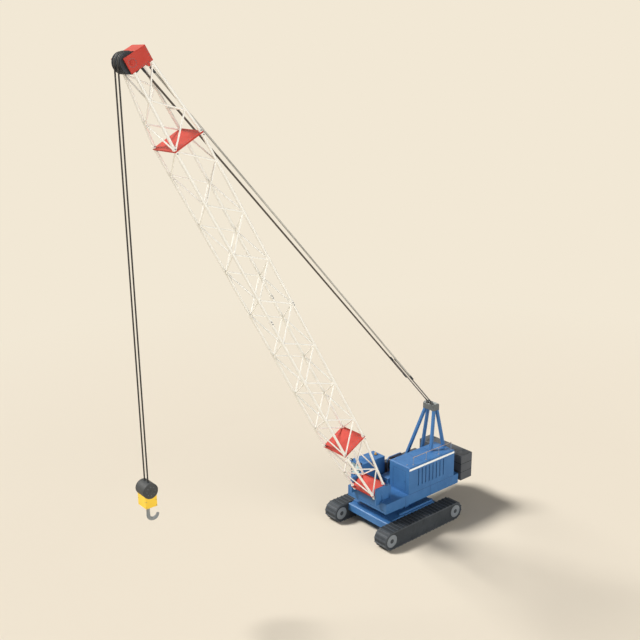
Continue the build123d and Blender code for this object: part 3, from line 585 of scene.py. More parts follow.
track = {
    "shoes": 48,
    "platePhase": 0.1335,
    "plateLength": 0.13,
    "hubRing": (0.126, 0.362),
    "rollers": (9, 0.45, 0.105, 0.235),  # caps, their pitch, radius and height
    "carriers": (3, 1.2, 0.08, 0.86),
}
hubRings = bmesh.new()
bolts, rollerCaps = [], []
inner, outer = track["hubRing"]
hubProfile = [
    (inner, 0), (inner, 0.006), (inner + 0.012, 0.009), (outer - 0.03, 0.009), (outer - 0.002, 0.003),
    (outer - 0.002, 0), (inner, 0),
]
for name in ("left", "right"):
    low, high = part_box(name + "_track")
    middle, half = (low.x + high.x) / 2, (high.x - low.x) / 2
    plates = grow(
        shoeLoop, "darkSteel", Count=track["shoes"], Phase=track["platePhase"], Length=trackLoop["wheelSpacing"],
        LoopRadius=trackLoop["radius"], Plate=(track["plateLength"], 2 * half - 0.03, 0.012),
        BoltRadius=0.012, BoltHeight=0.03, BoltSpread=(0.09, 0.5, 0),
    )
    loopPlace = acrossX(middle, 0, trackLoop["axleHeight"])
    planted(name + "_shoe_plates", [(plates, loopPlace)], "darkSteel", "undercarriage")
    for end in (-1, 1):
        for face in (-1, 1):
            centre = (middle + face * (half - 0.01), end * trackLoop["wheelSpacing"] / 2, trackLoop["axleHeight"])
            place = facing(centre, (face, 0, 0))
            addTurned(hubRings, hubProfile, place, 56)
            size = {"HeadRadius": 0.017, "HeadHeight": 0.008, "RingRadius": (inner + outer) / 2}
            bolts.append((grow(boltRing, "hubPaint", Count=12, **size), place @ Matrix.Translation((0, 0, 0.006))))
    for face in (-1, 1):
        for count, pitch, radius, z in (track["rollers"], track["carriers"]):
            discs = grow(discRow, "darkSteel", Count=count, Step=(pitch, 0, 0), Radius=radius, Thickness=0.016)
            rollerCaps.append((discs, acrossX(middle + face * (half - 0.014), -pitch * (count - 1) / 2, z)))
finished("hub_rings", hubRings, "hubPaint", "undercarriage", True)
planted("hub_bolts", bolts, "hubPaint", "undercarriage")
planted("roller_caps", rollerCaps, "darkSteel", "undercarriage", True)
print("tracks dressed")


carbody = {"front": 2.0, "tops": (1.01, 0.93), "reach": 1.6, "strip": 0.022, "ledge": 1.095, "gussets": 16}
# a pale chamfer strip along each beam's top edge, its paler blue a painted highlight
strip = bmesh.new()
cut, reach, lift = carbody["strip"], carbody["reach"], 0.003 / 2**0.5
for end, z in zip((-1, 1), carbody["tops"]):
    outline = ((0, -cut), (-end * cut, 0), (end * (lift - cut), lift), (end * lift, lift - cut))
    addPrism(strip, outline, acrossX(-reach, end * carbody["front"], z), 2 * reach)
finished("beam_edge_strips", strip, "highlightBlue", "undercarriage")
step = {"inner": 1.33, "outer": 1.476, "front": -0.9, "rear": 1.6, "rise": 0.1, "edge": 0.02}
ledge = carbody["ledge"]
top = ledge + step["rise"]
treads, edges = bmesh.new(), bmesh.new()
for side in (-1, 1):
    middle, half = side * (step["inner"] + step["outer"]) / 2, (step["outer"] - step["inner"]) / 2
    outline = []
    for end, y in ((-1, step["front"]), (1, step["rear"])):
        turns = [pi * i / 8 for i in range(9)]
        outline += [(middle - end * half * cos(turn), y + end * half * sin(turn)) for turn in turns]
    addPrism(treads, outline, Matrix.Translation((0, 0, ledge)), step["rise"])
    # pale strips painted on as highlights along the steps' outer top edges and along the ledge's rim
    rim = side * (step["outer"] - step["edge"])
    addBox(edges, (rim, step["front"], top), (side * step["outer"], step["rear"], top + 0.006))
    addBox(edges, (side * 1.566, -1.6, ledge), (side * 1.586, 1.6, ledge + 0.005))
finished("carbody_steps", treads, "bluePaint", "undercarriage")
finished("carbody_step_edges", edges, "highlightBlue", "undercarriage")
bolts = []
for side in (-1, 1):
    for end in (-1, 1):
        for x in (1.5, 1.57):
            first = (side * x, end * carbody["front"], 0.65)
            bolts += boltLine(4, first, (0, 0, 0.075), 0.016, (0, end, 0))
        bolts += boltLine(5, (side * 1.54, end * 1.55, ledge), (-side * 0.3, 0, 0), 0.018)
planted("carbody_bolts", bolts, "bluePaint", "undercarriage")
gussets = bmesh.new()
for i in range(carbody["gussets"]):
    turn = Matrix.Rotation(2 * pi * (i + 0.5) / carbody["gussets"], 4, "Z")
    addGusset(gussets, turn @ framed((1.05, 0.009, ledge), (0, -1, 0), (1, 0, 0)), 0.16, 0.05)
finished("turret_gussets", gussets, "bluePaint", "undercarriage")
ringBolts = grow(boltRing, "darkSteel", Count=44, HeadRadius=0.022, HeadHeight=0.03, RingRadius=1.12)
ringPlace = facing((0, 0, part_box("slewing_ring")[0].z - 0.012), (0, 0, -1))
planted("slewing_ring_bolts", [(ringBolts, ringPlace)], "darkSteel", "undercarriage")
print("carbody dressed")


low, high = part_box("engine_house")
house = {
    "stripe": (3.59, 3.71),
    "louvres": {"Count": 8, "Step": (0, 0.286, 0), "Size": (0.004, 0.034, 0.96)},
    "doors": (  # the way each faces, its face, then its edges across and in height
        (-1, low.y, (0.32, 1.3), (2.32, 3.5)),
        (1, high.y, (0.85, 1.48), (2.32, 3.64)),
        (1, high.y, (0.16, 0.79), (2.32, 3.64)),
    ),
    "roofSeams": (0.86, 2.12),
    "railPosts": (0.12, 1.14, 2.16, 3.18),
}
stripe = bmesh.new()
bottom, top = house["stripe"]
addBox(stripe, (high.x - 0.002, low.y + 0.02, bottom), (high.x + 0.006, high.y - 0.02, top))
finished("house_stripe", stripe, "whitePaint")
slats = grow(slatRow, "deepBlue", **house["louvres"])
planted("louvre_slats", [(slats, Matrix.Translation((high.x - 0.027, 0.385, 3.01)))], "deepBlue")
# painted shade: a dark strip along the foot of the house's side, where the house meets the deck
footShade = bmesh.new()
addBox(footShade, (high.x - 0.004, low.y, low.z - 0.006), (high.x + 0.003, high.y, low.z + 0.008))
finished("house_foot_shade", footShade, "deepBlue")
seams, fittings = bmesh.new(), bmesh.new()
for way, y, (left, right), (bottom, top) in house["doors"]:
    for x in (left, right):
        addBox(seams, (x - 0.005, y - 0.002, bottom), (x + 0.005, y + 0.002, top))
    for z in (bottom, top):
        addBox(seams, (left - 0.005, y - 0.002, z - 0.005), (right + 0.005, y + 0.002, z + 0.005))
    out = y + way * 0.012
    for share in (0.15, 0.85):
        z = bottom + (top - bottom) * share
        addRod(fittings, (left, out, z - 0.05), (left, out, z + 0.05), 0.012)
    x, z = right - 0.07, (bottom + top) / 2
    addBox(fittings, (x - 0.03, y, z - 0.06), (x + 0.03, out, z + 0.06), 0.004)
    addStaple(fittings, (x, y, z - 0.04), (x, y, z + 0.04), (0, way * 0.03, 0), 0.007)
for y in house["roofSeams"]:
    addBox(seams, (low.x + 0.03, y - 0.006, high.z - 0.002), (high.x - 0.03, y + 0.006, high.z + 0.002))
finished("house_seams", seams, "deepBlue")
finished("house_door_fittings", fittings, "bluePaint", smooth=True)
bolts = []
for x in (low.x + 0.07, high.x - 0.07):
    bolts += boltLine(16, (x, low.y + 0.1, high.z), (0, 0.23, 0), 0.012)
for y in (low.y + 0.06, high.y - 0.06):
    bolts += boltLine(6, (low.x + 0.2, y, high.z), (0.22, 0, 0), 0.012)
bolts += boltLine(14, (high.x, low.y + 0.16, 2.26), (0, 0.255, 0), 0.011, (1, 0, 0))
planted("house_bolts", bolts, "bluePaint")
eyes = bmesh.new()
for x in (low.x + 0.2, high.x - 0.35):
    for y in (low.y + 0.2, high.y - 0.35):
        addEye(eyes, x, y, high.z, 0.05, 0.01, 8)
for y in house["railPosts"]:
    addTurned(eyes, collar(0, 0.05, 0.012, 0.005, 0.008), standing((1.378, y, high.z)), 20)
finished("house_lifting_eyes", eyes, "railPaint", smooth=True)
print("engine house dressed")


deck = {"tread": {"Across": 20, "Along": 22, "Width": 1.36, "Depth": 1.3, "Lozenge": (0.02, 0.005, 0.008)}}
low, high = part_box("deck")
tread = grow(treadPlate, "highlightBlue", **deck["tread"])
planted("deck_tread", [(tread, Matrix.Translation((0, -1.22, high.z)))], "bluePaint")
bolts = []
for side in (-1, 1):
    first = (side * high.x, low.y + 0.2, low.z + 0.07)
    bolts += boltLine(20, first, (0, 0.28, 0), 0.013, (side, 0, 0))
    bolts += boltLine(3, (side * 0.62, low.y, low.z + 0.14), (0, 0, 0.15), 0.016, (0, -1, 0))
bolts += boltLine(9, (-1.2, low.y, low.z + 0.07), (0.3, 0, 0), 0.013, (0, -1, 0))
seams = bmesh.new()
for y in (-0.62, 1.35, 2.9):
    for x in (-high.x, high.x):
        addBox(seams, (x - 0.002, y - 0.005, low.z), (x + 0.002, y + 0.005, high.z))
addBox(seams, (low.x + 0.04, low.y - 0.002, 1.73), (high.x - 0.04, low.y + 0.002, 1.738))
finished("deck_seams", seams, "deepBlue")

footPin = {"y": -1.94, "z": 2.667, "face": 1.06, "collar": 0.115}
collars = bmesh.new()
near, y = footPin["face"], footPin["y"]
for side in (-1, 1):
    place = framed((side * near, y, footPin["z"]), (side, 0, 0), (0, side, 0))
    addTurned(collars, collar(0.061, footPin["collar"], 0.01, 0.01, 0.004), place, 36)
    out = side * (near + 0.01)
    addBox(collars, (side * near, y - 0.03, 2.44), (out, y + 0.03, 2.54), 0.002)
    for z in (2.462, 2.518):
        bolts += boltLine(1, (out, y, z), (0, 0, 1), 0.012, (side, 0, 0))
flange = bmesh.new()
addBox(flange, (near, -2.06, high.z), (1.17, -1.29, high.z + 0.02), 0.004)
for y in (-1.95, -1.4):
    addGusset(flange, framed((near, y + 0.009, high.z), (0, -1, 0), (1, 0, 0)), 0.1, 0.02)
finished("bracket_flange", flange, "bluePaint")
bolts += boltLine(5, (1.12, -1.86, high.z + 0.02), (0, 0.1, 0), 0.016)
finished("foot_pin_collars", collars, "bluePaint", smooth=True)
planted("deck_bolts", bolts, "bluePaint")
print("deck dressed")


ballast = {"seams": (2.229, 2.744), "seamHalf": 0.014, "inset": 0.004, "eyes": ((-1.2, 1.2), (3.98, 4.5))}
low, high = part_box("counterweight_1")[0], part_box("counterweight_3")[1]
half, inset = ballast["seamHalf"], ballast["inset"]
seams = bmesh.new()
for z in ballast["seams"]:
    addBox(seams, (low.x + inset, low.y + inset, z - half), (high.x - inset, high.y - inset, z + half))
finished("counterweight_seams", seams, "gasket")
eyes = bmesh.new()
bolts = []
for x in ballast["eyes"][0]:
    for y in ballast["eyes"][1]:
        addBox(eyes, (x - 0.07, y - 0.12, high.z), (x + 0.07, y + 0.12, high.z + 0.012), 0.003)
        addEye(eyes, x, y, high.z, 0.075, 0.014, 10)
        for out in (-0.05, 0.05):
            bolts += boltLine(2, (x + out, y - 0.1, high.z + 0.012), (0, 0.2, 0), 0.01)
finished("counterweight_lifting_eyes", eyes, "ballastPaint", smooth=True)
for x in (-0.95, 0.95):
    bolts += boltLine(2, (x - 0.12, 4.25, high.z), (0.24, 0, 0), 0.03)
    bolts += boltLine(3, (x, low.y, 2.0), (0, 0, 0.5), 0.02, (0, -1, 0))
planted("counterweight_bolts", bolts, "ballastPaint")
print("counterweight dressed")


cab = {
    "front": -1.6,
    "rear": 0.12,
    "outer": -1.85,
    "roof": 3.52,
    "upperPane": ((-1.78, -0.96), (3.06, 3.4)),
    "lowerPane": ((-1.78, -1.145), (2.7, 3.06)),
    "rearPane": ((-1.74, -1.0), (2.85, 3.36)),
    "sidePane": ((-0.53, 0.01), (2.83, 3.36)),
    "doorPane": ((-1.37, -0.73), (2.83, 3.28)),
    "wiper": (-1.42, 3.43),
    "grabRail": (-1.53, 2.4, 3.15),
    "lamps": (-1.75, -0.99),
    "beacon": (-1.37, -0.15),
}
front, outside, roof = cab["front"], cab["outer"], cab["roof"]
gaskets = bmesh.new()
addFrame(gaskets, "Y", front, *cab["upperPane"], -1)
addFrame(gaskets, "Y", front, *cab["lowerPane"], -1)
addFrame(gaskets, "Y", cab["rear"], *cab["rearPane"], 1)
addFrame(gaskets, "X", outside, *cab["sidePane"], -1)
finished("window_gaskets", gaskets, "gasket")
doorGasket = bmesh.new()
addFrame(doorGasket, "X", outside, *cab["doorPane"], -1)
finished("door_gasket", doorGasket, "gasket", "door")
handle = bmesh.new()
addBox(handle, (outside - 0.008, -1.43, 2.66), (outside, -1.38, 2.8), 0.003)
bow = ((0, 2.68), (0.035, 2.685), (0.042, 2.73), (0.035, 2.775), (0, 2.78))
addTube(handle, [(outside - out, -1.405, z) for out, z in bow], 0.008)
finished("door_handle", handle, "gasket", "door", True)
rail = bmesh.new()
y, foot, top = cab["grabRail"]
bow = ((0, foot), (0.05, foot + 0.02), (0.055, foot + 0.07), (0.055, top - 0.07), (0.05, top - 0.02), (0, top))
addTube(rail, [(outside - out, y, z) for out, z in bow], 0.013)
for z in (foot, top):
    addTurned(rail, collar(0, 0.03, 0.008, 0.004, 0.004), framed((outside, y, z), (-1, 0, 0), (0, 1, 0)), 18)
finished("cab_grab_rail", rail, "railPaint", smooth=True)
wiper = bmesh.new()
x, z = cab["wiper"]
addTurned(wiper, collar(0, 0.028, 0.022, 0.008, 0.012), framed((x, front, z), (0, -1, 0), (1, 0, 0)), 18)
arm = ((0, 0.016, 0), (0.1, 0.024, 0.16), (0.17, 0.02, 0.29))
addTube(wiper, [(x - left, front - out, z - down) for left, out, down in arm], 0.006)
addBox(wiper, (x - 0.175, front - 0.02, z - 0.52), (x - 0.163, front - 0.008, z - 0.12), 0.002)
finished("wiper", wiper, "gasket")
hatch = bmesh.new()
addBox(hatch, (-1.64, -1.24, roof), (-1.1, -0.62, roof + 0.026), 0.01)
addBox(hatch, (-1.84, -1.68, roof - 0.07), (-0.9, -1.694, roof + 0.004), 0.004)
addStaple(hatch, (-1.45, -1.16, roof + 0.02), (-1.29, -1.16, roof + 0.02), (0, 0, 0.03), 0.008)
finished("cab_roof_hatch", hatch, "bluePaint", smooth=True)
bolts = boltLine(8, (-1.82, 0.09, roof), (0.13, 0, 0), 0.009)
for x in (-1.66, -1.08):
    bolts += boltLine(3, (x, -1.2, roof), (0, 0.27, 0), 0.009)
bolts += boltLine(12, (outside, -1.5, 2.1), (0, 0.14, 0), 0.011, (-1, 0, 0))
planted("cab_bolts", bolts, "bluePaint")
seals, lenses = bmesh.new(), bmesh.new()
wide, tall, corner = 0.058, 0.03, 0.015
outline = []
for a, b, first in ((1, 1, 0), (-1, 1, 90), (-1, -1, 180), (1, -1, 270)):
    for turn in (radians(first + 22.5 * i) for i in range(5)):
        outline.append((a * (wide - corner) + corner * cos(turn), b * (tall - corner) + corner * sin(turn)))
for x in cab["lamps"]:
    addBox(seals, (x - 0.074, -1.694, roof + 0.002), (x + 0.074, -1.684, roof + 0.089), 0.006)
    addTube(seals, [(x - 0.05, -1.6, 3.53), (x - 0.05, -1.57, 3.535), (x - 0.05, -1.55, 3.522)], 0.008)
    addPrism(lenses, outline, framed((x, -1.694, 3.565), (0, -1, 0), (1, 0, 0)), 0.005)
finished("lamp_rims", seals, "gasket", smooth=True)
finished("lamp_lenses", lenses, "lampGlass")
base = bmesh.new()
addTurned(base, collar(0.0755, 0.095, 0.031, 0.012, 0.012), standing((*cab["beacon"], roof)), 32)
finished("beacon_base", base, "gasket", smooth=True)


seat = {"middle": -1.37, "floor": 2.229, "fill": 0.7, "crown": 0.018, "pull": 0.012, "groove": 0.012}


def cushion(name, middle, size, up, channels):  # crowned, pulled in along its sides, sewn across in channels
    shape = bmesh.new()
    bmesh.ops.create_cube(shape, size=2)
    bmesh.ops.subdivide_edges(shape, edges=shape.edges[:], cuts=15, use_grid_fill=True)
    crown, groove = seat["crown"], seat["groove"]
    for vert in shape.verts:
        soft = sum(abs(share) ** 6 for share in vert.co) ** (1 / 6)
        a, b, c = vert.co / soft
        x = a * (size[0] / 2 - seat["pull"] * (1 - b * b))
        y = b * (size[1] / 2 - seat["pull"] * (1 - a * a))
        z = c * (size[2] / 2 - crown + crown * (1 - a * a) * (1 - b * b))
        if c > 0:
            z -= sum(groove * c * exp(-(((y - channel) / groove) ** 2)) * (1 - a**8) for channel in channels)
        vert.co = (x, y, z)
    for face in shape.faces:
        face.smooth = True
    shape.transform(Matrix.Translation(middle) @ up)
    finished(name, shape, "seatCloth", outward=False)


x, z = seat["middle"], seat["floor"]
upright = Matrix(((1, 0, 0, 0), (0, 0, -1, 0), (0, 1, 0, 0), (0, 0, 0, 1)))
cushion("seat_cushion", (x, -0.675, z + 0.365), (0.46, 0.49, 0.126), Matrix(), (-0.11, 0.0, 0.11))
cushion("seat_backrest", (x, -0.44, z + 0.72), (0.44, 0.54, 0.116), upright, (-0.14, 0.0, 0.14))
pedestal = bmesh.new()
addBox(pedestal, (x - 0.105, -0.755, z), (x + 0.105, -0.545, z + 0.04), 0.01)
for i in range(4):
    addBox(pedestal, (x - 0.085, -0.735, z + 0.05 + 0.05 * i), (x + 0.085, -0.565, z + 0.09 + 0.05 * i), 0.012)
addBox(pedestal, (x - 0.2, -0.87, z + 0.255), (x + 0.2, -0.46, z + 0.3), 0.008)
addBox(pedestal, (x - 0.16, -0.385, z + 0.4), (x + 0.16, -0.381, z + 0.96), 0.001)
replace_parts(finished("seat_pedestal", pedestal, "gasket"), "operator_seat")
levers = bmesh.new()
knob = [(0, 0.046), (0.012, 0.044), (0.022, 0.034), (0.026, 0.02), (0.022, 0.006), (0.015, 0), (0, 0)]
boot = [(0, 0.06), (0.016, 0.06), (0.022, 0.045), (0.026, 0.045), (0.03, 0.03), (0.034, 0.03), (0.038, 0), (0, 0)]
for side in (-1, 1):
    addTurned(levers, knob, framed((x + side * 0.288, -1.08, z + 0.7), (0, -0.18, 1), (1, 0, 0)), 20)
    addTurned(levers, boot, framed((x + side * 0.288, -1.05, z + 0.56), (0, -0.1, 1), (1, 0, 0)), 20)
finished("lever_knobs", levers, "gasket", smooth=True)
print("cab dressed")


winch = {
    "plates": (-1.0, -0.08),
    "low": 2.95,
    "front": 0.42,
    "rear": 1.62,
    "top": 3.28,
    "corner": 0.14,
    "cap": 0.01,
    "bearings": ((0.85, 2.8, 0.13), (1.42, 2.56, 0.1)),  # of the hoist drum and of the luffing drum
    "drumRings": (("hoist", 0.34), ("luffing", 0.145)),
    "ties": ((0.52, 3.16), (1.53, 3.12)),
}
caps = bmesh.new()
low, front, rear, top, corner, thick = (winch[key] for key in ("low", "front", "rear", "top", "corner", "cap"))


def overPlate(swell, bend):  # up the front edge of a winch plate, over its top and down its rear edge
    ahead, behind, above = front - swell, rear + swell, top + swell
    return [
        (ahead, low), (ahead, top - bend), (front + bend, above), (rear - bend, above), (behind, top - bend),
        (behind, low),
    ]


for x in winch["plates"]:
    addPrism(caps, overPlate(thick, corner - 0.004) + overPlate(0, corner)[::-1], acrossX(x - 0.03, 0, 0), 0.06)
finished("winch_frame_caps", caps, "bluePaint")
housings = bmesh.new()
bolts = []
for y, z, ring in winch["bearings"]:
    for x, way in ((-1.02, -1), (-0.06, 1)):
        place = framed((x, y, z), (way, 0, 0), (0, 1, 0))
        addTurned(housings, collar(0.062, ring, 0.012), place, 32)
        bolts += boltCircle(8, (x + way * 0.012, y, z), (way, 0, 0), ring - 0.03, 0.011)
for y, z in winch["ties"]:
    addRod(housings, (-0.98, y, z), (-0.1, y, z), 0.028, 20)
    for x, way in ((-0.98, 1), (-0.1, -1)):
        addRod(housings, (x, y, z), (x + way * 0.012, y, z), 0.055, 20)
finished("winch_bearings", housings, "winchPaint", smooth=True)
for x in (-0.97, -0.11):
    bolts += boltLine(5, (x, 0.5, 2.244), (0, 0.26, 0), 0.014)
planted("winch_bolts", bolts, "boltSteel")
for (name, ring), (y, z, _) in zip(winch["drumRings"], winch["bearings"]):
    low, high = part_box(name + "_drum")
    ends = ((low.x + 0.098, 1), (high.x - 0.098, -1))
    bolts = [circle for x, way in ends for circle in boltCircle(12, (x, y, z), (way, 0, 0), ring, 0.01)]
    planted(name + "_drum_bolts", bolts, "boltSteel", name + "_winch")


tank = {
    "across": (-1.568, -1.24),
    "low": 2.184,
    "high": 2.86,
    "corner": 0.04,
    "straps": (0.7, 1.7, 2.75),
    "cap": (-1.4, 0.5),
}


def overTank(swell):  # up one side of the tank, over its top and down the other side
    left, right = tank["across"]
    corner = tank["corner"]
    path = [(left - swell, tank["low"])]
    for middle, first in ((left + corner, 180), (right - corner, 90)):
        for turn in (radians(first - 18 * i) for i in range(6)):
            rise = (corner + swell) * sin(turn) - corner
            path.append((middle + (corner + swell) * cos(turn), tank["high"] + rise))
    return path + [(right + swell, tank["low"])]


straps = bmesh.new()
for y in tank["straps"]:
    addPrism(straps, overTank(0.006) + overTank(0)[::-1], framed((0, y + 0.025, 0), (0, -1, 0), (1, 0, 0)), 0.05)
finished("tank_straps", straps, "darkSteel")
cap = bmesh.new()
x, y, z = *tank["cap"], tank["high"]
capProfile = [(0, 0.055), (0.05, 0.055), (0.06, 0.045), (0.06, 0.02), (0.075, 0.015), (0.075, 0), (0, 0)]
addTurned(cap, capProfile, standing((x, y, z)), 28)
addBox(cap, (x - 0.045, y - 0.008, z + 0.054), (x + 0.045, y + 0.008, z + 0.075), 0.004)
finished("tank_cap", cap, "gasket", smooth=True)

battery = {"across": (-0.7, -0.02), "along": (-0.42, 0.33), "high": 2.6, "lid": 2.52, "catches": (-0.56, -0.16)}
(left, right), (front, rear) = battery["across"], battery["along"]
lid = bmesh.new()
z = battery["lid"]
addBox(lid, (left - 0.003, front - 0.003, z - 0.004), (right + 0.003, rear + 0.003, z + 0.004))
finished("battery_lid_seam", lid, "deepBlue")
catches = bmesh.new()
for x in battery["catches"]:
    addBox(catches, (x - 0.022, front - 0.012, 2.46), (x + 0.022, front, 2.56), 0.004)
    addRod(catches, (x - 0.018, front - 0.014, 2.545), (x + 0.018, front - 0.014, 2.545), 0.007, 10)
addStaple(catches, (-0.46, -0.05, battery["high"]), (-0.26, -0.05, battery["high"]), (0, 0, 0.035), 0.009)
finished("battery_catches", catches, "boltSteel", smooth=True)
vents = grow(slatRow, "deepBlue", Count=4, Step=(0, 0, 0.035), Size=(0.3, 0.006, 0.012))
planted("battery_vents", [(vents, Matrix.Translation((-0.36, front, 2.28)))], "deepBlue")
bolts = []
for y in tank["straps"]:
    bolts += boltLine(1, (-1.574, y, 2.24), (0, 0, 1), 0.012, (-1, 0, 0))
planted("tank_bolts", bolts, "boltSteel")
print("winches, tank and batteries dressed")


gantry = {
    "roof": 3.794,
    "deck": 2.184,
    "footX": 0.788,
    "topX": 0.33,
    "rows": ((2.143, 2.79), (3.18, 3.03)),  # where the front and rear legs stand and end, along the crane
    "header": 5.95,
    # the heights of the paler plate painted on the header's top as light
    "cap": (6.33, 6.34),
    "bolts": 6.02,
}
shoes = bmesh.new()
bolts = []
roof, topX, header = gantry["roof"], gantry["topX"], gantry["header"]
for footY, topY in gantry["rows"]:
    for side, z, half in ((1, roof, 0.15), (-1, gantry["deck"], 0.1)):
        share = (z - roof) / (header - roof)
        x = side * (gantry["footX"] + (topX - gantry["footX"]) * share)
        y = footY + (topY - footY) * share
        addBox(shoes, (x - half, y - 0.15, z), (x + half, y + 0.15, z + 0.018), 0.004)
        for out in (0.02 - half, half - 0.02):
            bolts += boltLine(2, (x + out, y - 0.125, z + 0.018), (0, 0.25, 0), 0.014)
    for x in (-topX, topX):
        addBox(shoes, (x - 0.105, topY - 0.105, header - 0.016), (x + 0.105, topY + 0.105, header), 0.004)
finished("gantry_leg_flanges", shoes, "bluePaint")
low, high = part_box("gantry_header")
bottom, top = gantry["cap"]
# painted light: a paler plate over the header's top, lighter because the top catches the light
litTop = bmesh.new()
addBox(litTop, (low.x + 0.004, 2.832, bottom), (high.x - 0.004, high.y - 0.072, top), 0.002)
for side in (-1, 1):
    addBox(litTop, (side * 0.26, 2.756, bottom), (side * 0.418, 2.832, top))
finished("header_lit_top", litTop, "headerTopLight")
for y, way in ((low.y, -1), (high.y, 1)):
    bolts += boltLine(5, (-0.34, y, gantry["bolts"]), (0.17, 0, 0), 0.014, (0, way, 0))
for side in (-1, 1):
    bolts += boltLine(3, (side * high.x, 2.78, gantry["bolts"]), (0, 0.13, 0), 0.014, (side, 0, 0))
planted("gantry_bolts", bolts, "boltSteel")
print("gantry dressed")


full = (0.816, 0.722)  # half the width and depth of the boom between its tapers
boom = {
    "foot": (0, -1.94, 2.667),
    "angle": 60.81,
    "rod": 0.036,
    "chord": 0.065,
    "collar": 0.05,
    "aim": 0.035,
    "splices": (3.665, 22.16),
    "sections": (  # start, end, end of the lacing, first bay, bays, half width and half depth at both ends
        (0.145, 3.63, 3.63, 0, 3, (0.796, 0.445), full),
        (3.7, 12.9125, 12.9125, 0, 7, full, full),
        (12.9125, 22.125, 22.125, 7, 7, full, full),
        (22.195, 25.52, 25.4, 0, 3, full, (0.44, 0.438)),
    ),
}
slope = radians(boom["angle"])
boomWay = Vector((0, -cos(slope), sin(slope)))
boomUp = Vector((0, sin(slope), cos(slope)))
chords = ((1, 1), (1, -1), (-1, 1), (-1, -1))


def onBoom(across, along, up):
    return Vector(boom["foot"]) + Vector((across, 0, 0)) + boomWay * along + boomUp * up


def chordAt(section, which, along):  # the middle of one chord at a distance along the boom
    low, high, *_, first, last = section
    share = (along - low) / (high - low)
    across, up = (a + (b - a) * share for a, b in zip(first, last))
    return onBoom(which[0] * across, along, which[1] * up)


ends, edges = [], []
for number, section in enumerate(boom["sections"]):
    low, high, laced, first, bays = section[:5]
    pitch = (laced - low) / bays
    for even in ((1, -1), (-1, 1)):
        for odd in ((1, 1), (-1, -1)):
            openFace = number == 3 and even[1] == odd[1] == 1
            for bay in range(1 if openFace else bays):
                here, there = (even, odd) if (first + bay) % 2 == 0 else (odd, even)
                along = low + bay * pitch
                begin, end = chordAt(section, here, along), chordAt(section, there, along + pitch)
                begin += (chordAt(section, there, along) - begin).normalized() * boom["aim"]
                end += (chordAt(section, here, along + pitch) - end).normalized() * boom["aim"]
                way = (end - begin).normalized()
                chordWay = (chordAt(section, here, high) - chordAt(section, here, low)).normalized()
                lift = (boom["chord"] - boom["aim"] + 0.012) / way.cross(chordWay).length
                edges.append((len(ends), len(ends) + 1))
                ends += [begin + way * lift, end - way * lift]
rodMesh = bpy.data.meshes.new("rods")
rodMesh.from_pydata(ends, edges, [])
size = {"RodRadius": boom["rod"] + 0.001, "CollarRadius": boom["collar"], "Length": 0.034}
beads = grow(weldCollars, "ivoryPaint", rodMesh, **size)
planted("lacing_weld_collars", [(beads, Matrix())], "ivoryPaint", "boom", True)


def chordSocket(shape, section, which, along, ahead, profile, steps):
    centre, side = chordAt(section, which, along), Vector((1, 0, 0))
    way = (chordAt(section, which, ahead) - centre).normalized()
    addTurned(shape, profile, framed(centre, way, side - way * side.dot(way)), steps)
    return centre, way


sockets, pins = bmesh.new(), bmesh.new()
for section in boom["sections"]:
    for which in chords:
        for along, turn in ((section[0], 1), (section[1], -1)):
            if along < 1 or along > 25:
                continue
            sleeve = collar(0.064, 0.084, 0.13, 0.012, 0.11)
            centre, way = chordSocket(sockets, section, which, along, along + turn, sleeve, 24)
            middle, side = centre + way * 0.07, Vector((1, 0, 0))
            addRod(pins, middle - side * 0.1, middle + side * 0.1, 0.02, 14)
            for end in (-1, 1):
                addRod(pins, middle + side * end * 0.1, middle + side * end * 0.112, 0.029, 6)
shoe = [(0, 0.012), (0.07, 0.012), (0.088, 0), (0.088, 0.34), (0.066, 0.38), (0, 0.38)]
for which in chords:  # the chords' ends stand in sockets through the foot plate
    chordSocket(sockets, boom["sections"][0], which, -0.15, 1, shoe, 28)
finished("chord_sockets", sockets, "ivoryPaint", "boom", True)
finished("chord_pins", pins, "boltSteel", "boom")
bolts = []
for along in boom["splices"]:
    for face in (-1, 1):
        for up in (-0.62, 0.62):
            first = onBoom(-0.6, along + face * 0.035, up)
            bolts += boltLine(7, first, (0.2, 0, 0), 0.016, boomWay * face)
        for x in (-0.72, 0.72):
            first = onBoom(x, along + face * 0.035, -0.45)
            bolts += boltLine(6, first, boomUp * 0.18, 0.016, boomWay * face)
for up in (0.42, -0.42):
    bolts += boltLine(7, onBoom(-0.6, 0.145, up), (0.2, 0, 0), 0.016, boomWay)
head = {"start": 25.52, "half": 0.505, "axle": (25.867, -0.333), "nut": 0.1, "rim": (25.535, 26.165, -0.575, 0.488)}
start, half = head["start"], head["half"]
low, high, under, over = head["rim"]
nuts, beads = bmesh.new(), bmesh.new()
for side in (-1, 1):
    centre, out = onBoom(side * half, *head["axle"]), Vector((side, 0, 0))
    bolts += boltCircle(12, centre, out, 0.165, 0.014)
    addTurned(nuts, collar(0.072, 0.135, 0.014), framed(centre, out, boomWay), 32)
    addRod(nuts, centre + out * 0.015, centre + out * 0.045, head["nut"], 6)
    addRod(nuts, centre + out * 0.045, centre + out * 0.06, 0.04, 20)
    bolts += boltLine(6, onBoom(side * half, start + 0.05, -0.2), boomUp * 0.12, 0.013, out)
    bolts += boltLine(5, onBoom(side * half, start + 0.12, 0.45), boomWay * 0.11, 0.013, out)
    corners = ((low, over), (high, over), (high, under), (low, under))
    rim = [onBoom(side * (half + 0.001), *corner) for corner in corners]
    for first, last in zip(rim, rim[1:] + rim[:1]):
        addRod(beads, first, last, 0.007, 6)
bolts += boltLine(5, onBoom(-0.4, start + 0.33, 0.503), (0.2, 0, 0), 0.014, boomUp)
finished("head_axle_nuts", nuts, "redPaint", "boom")
planted("boom_bolts", bolts, "boltSteel", "boom")
finished("head_edge_beads", beads, "redPaint", "boom")
print("boom dressed")


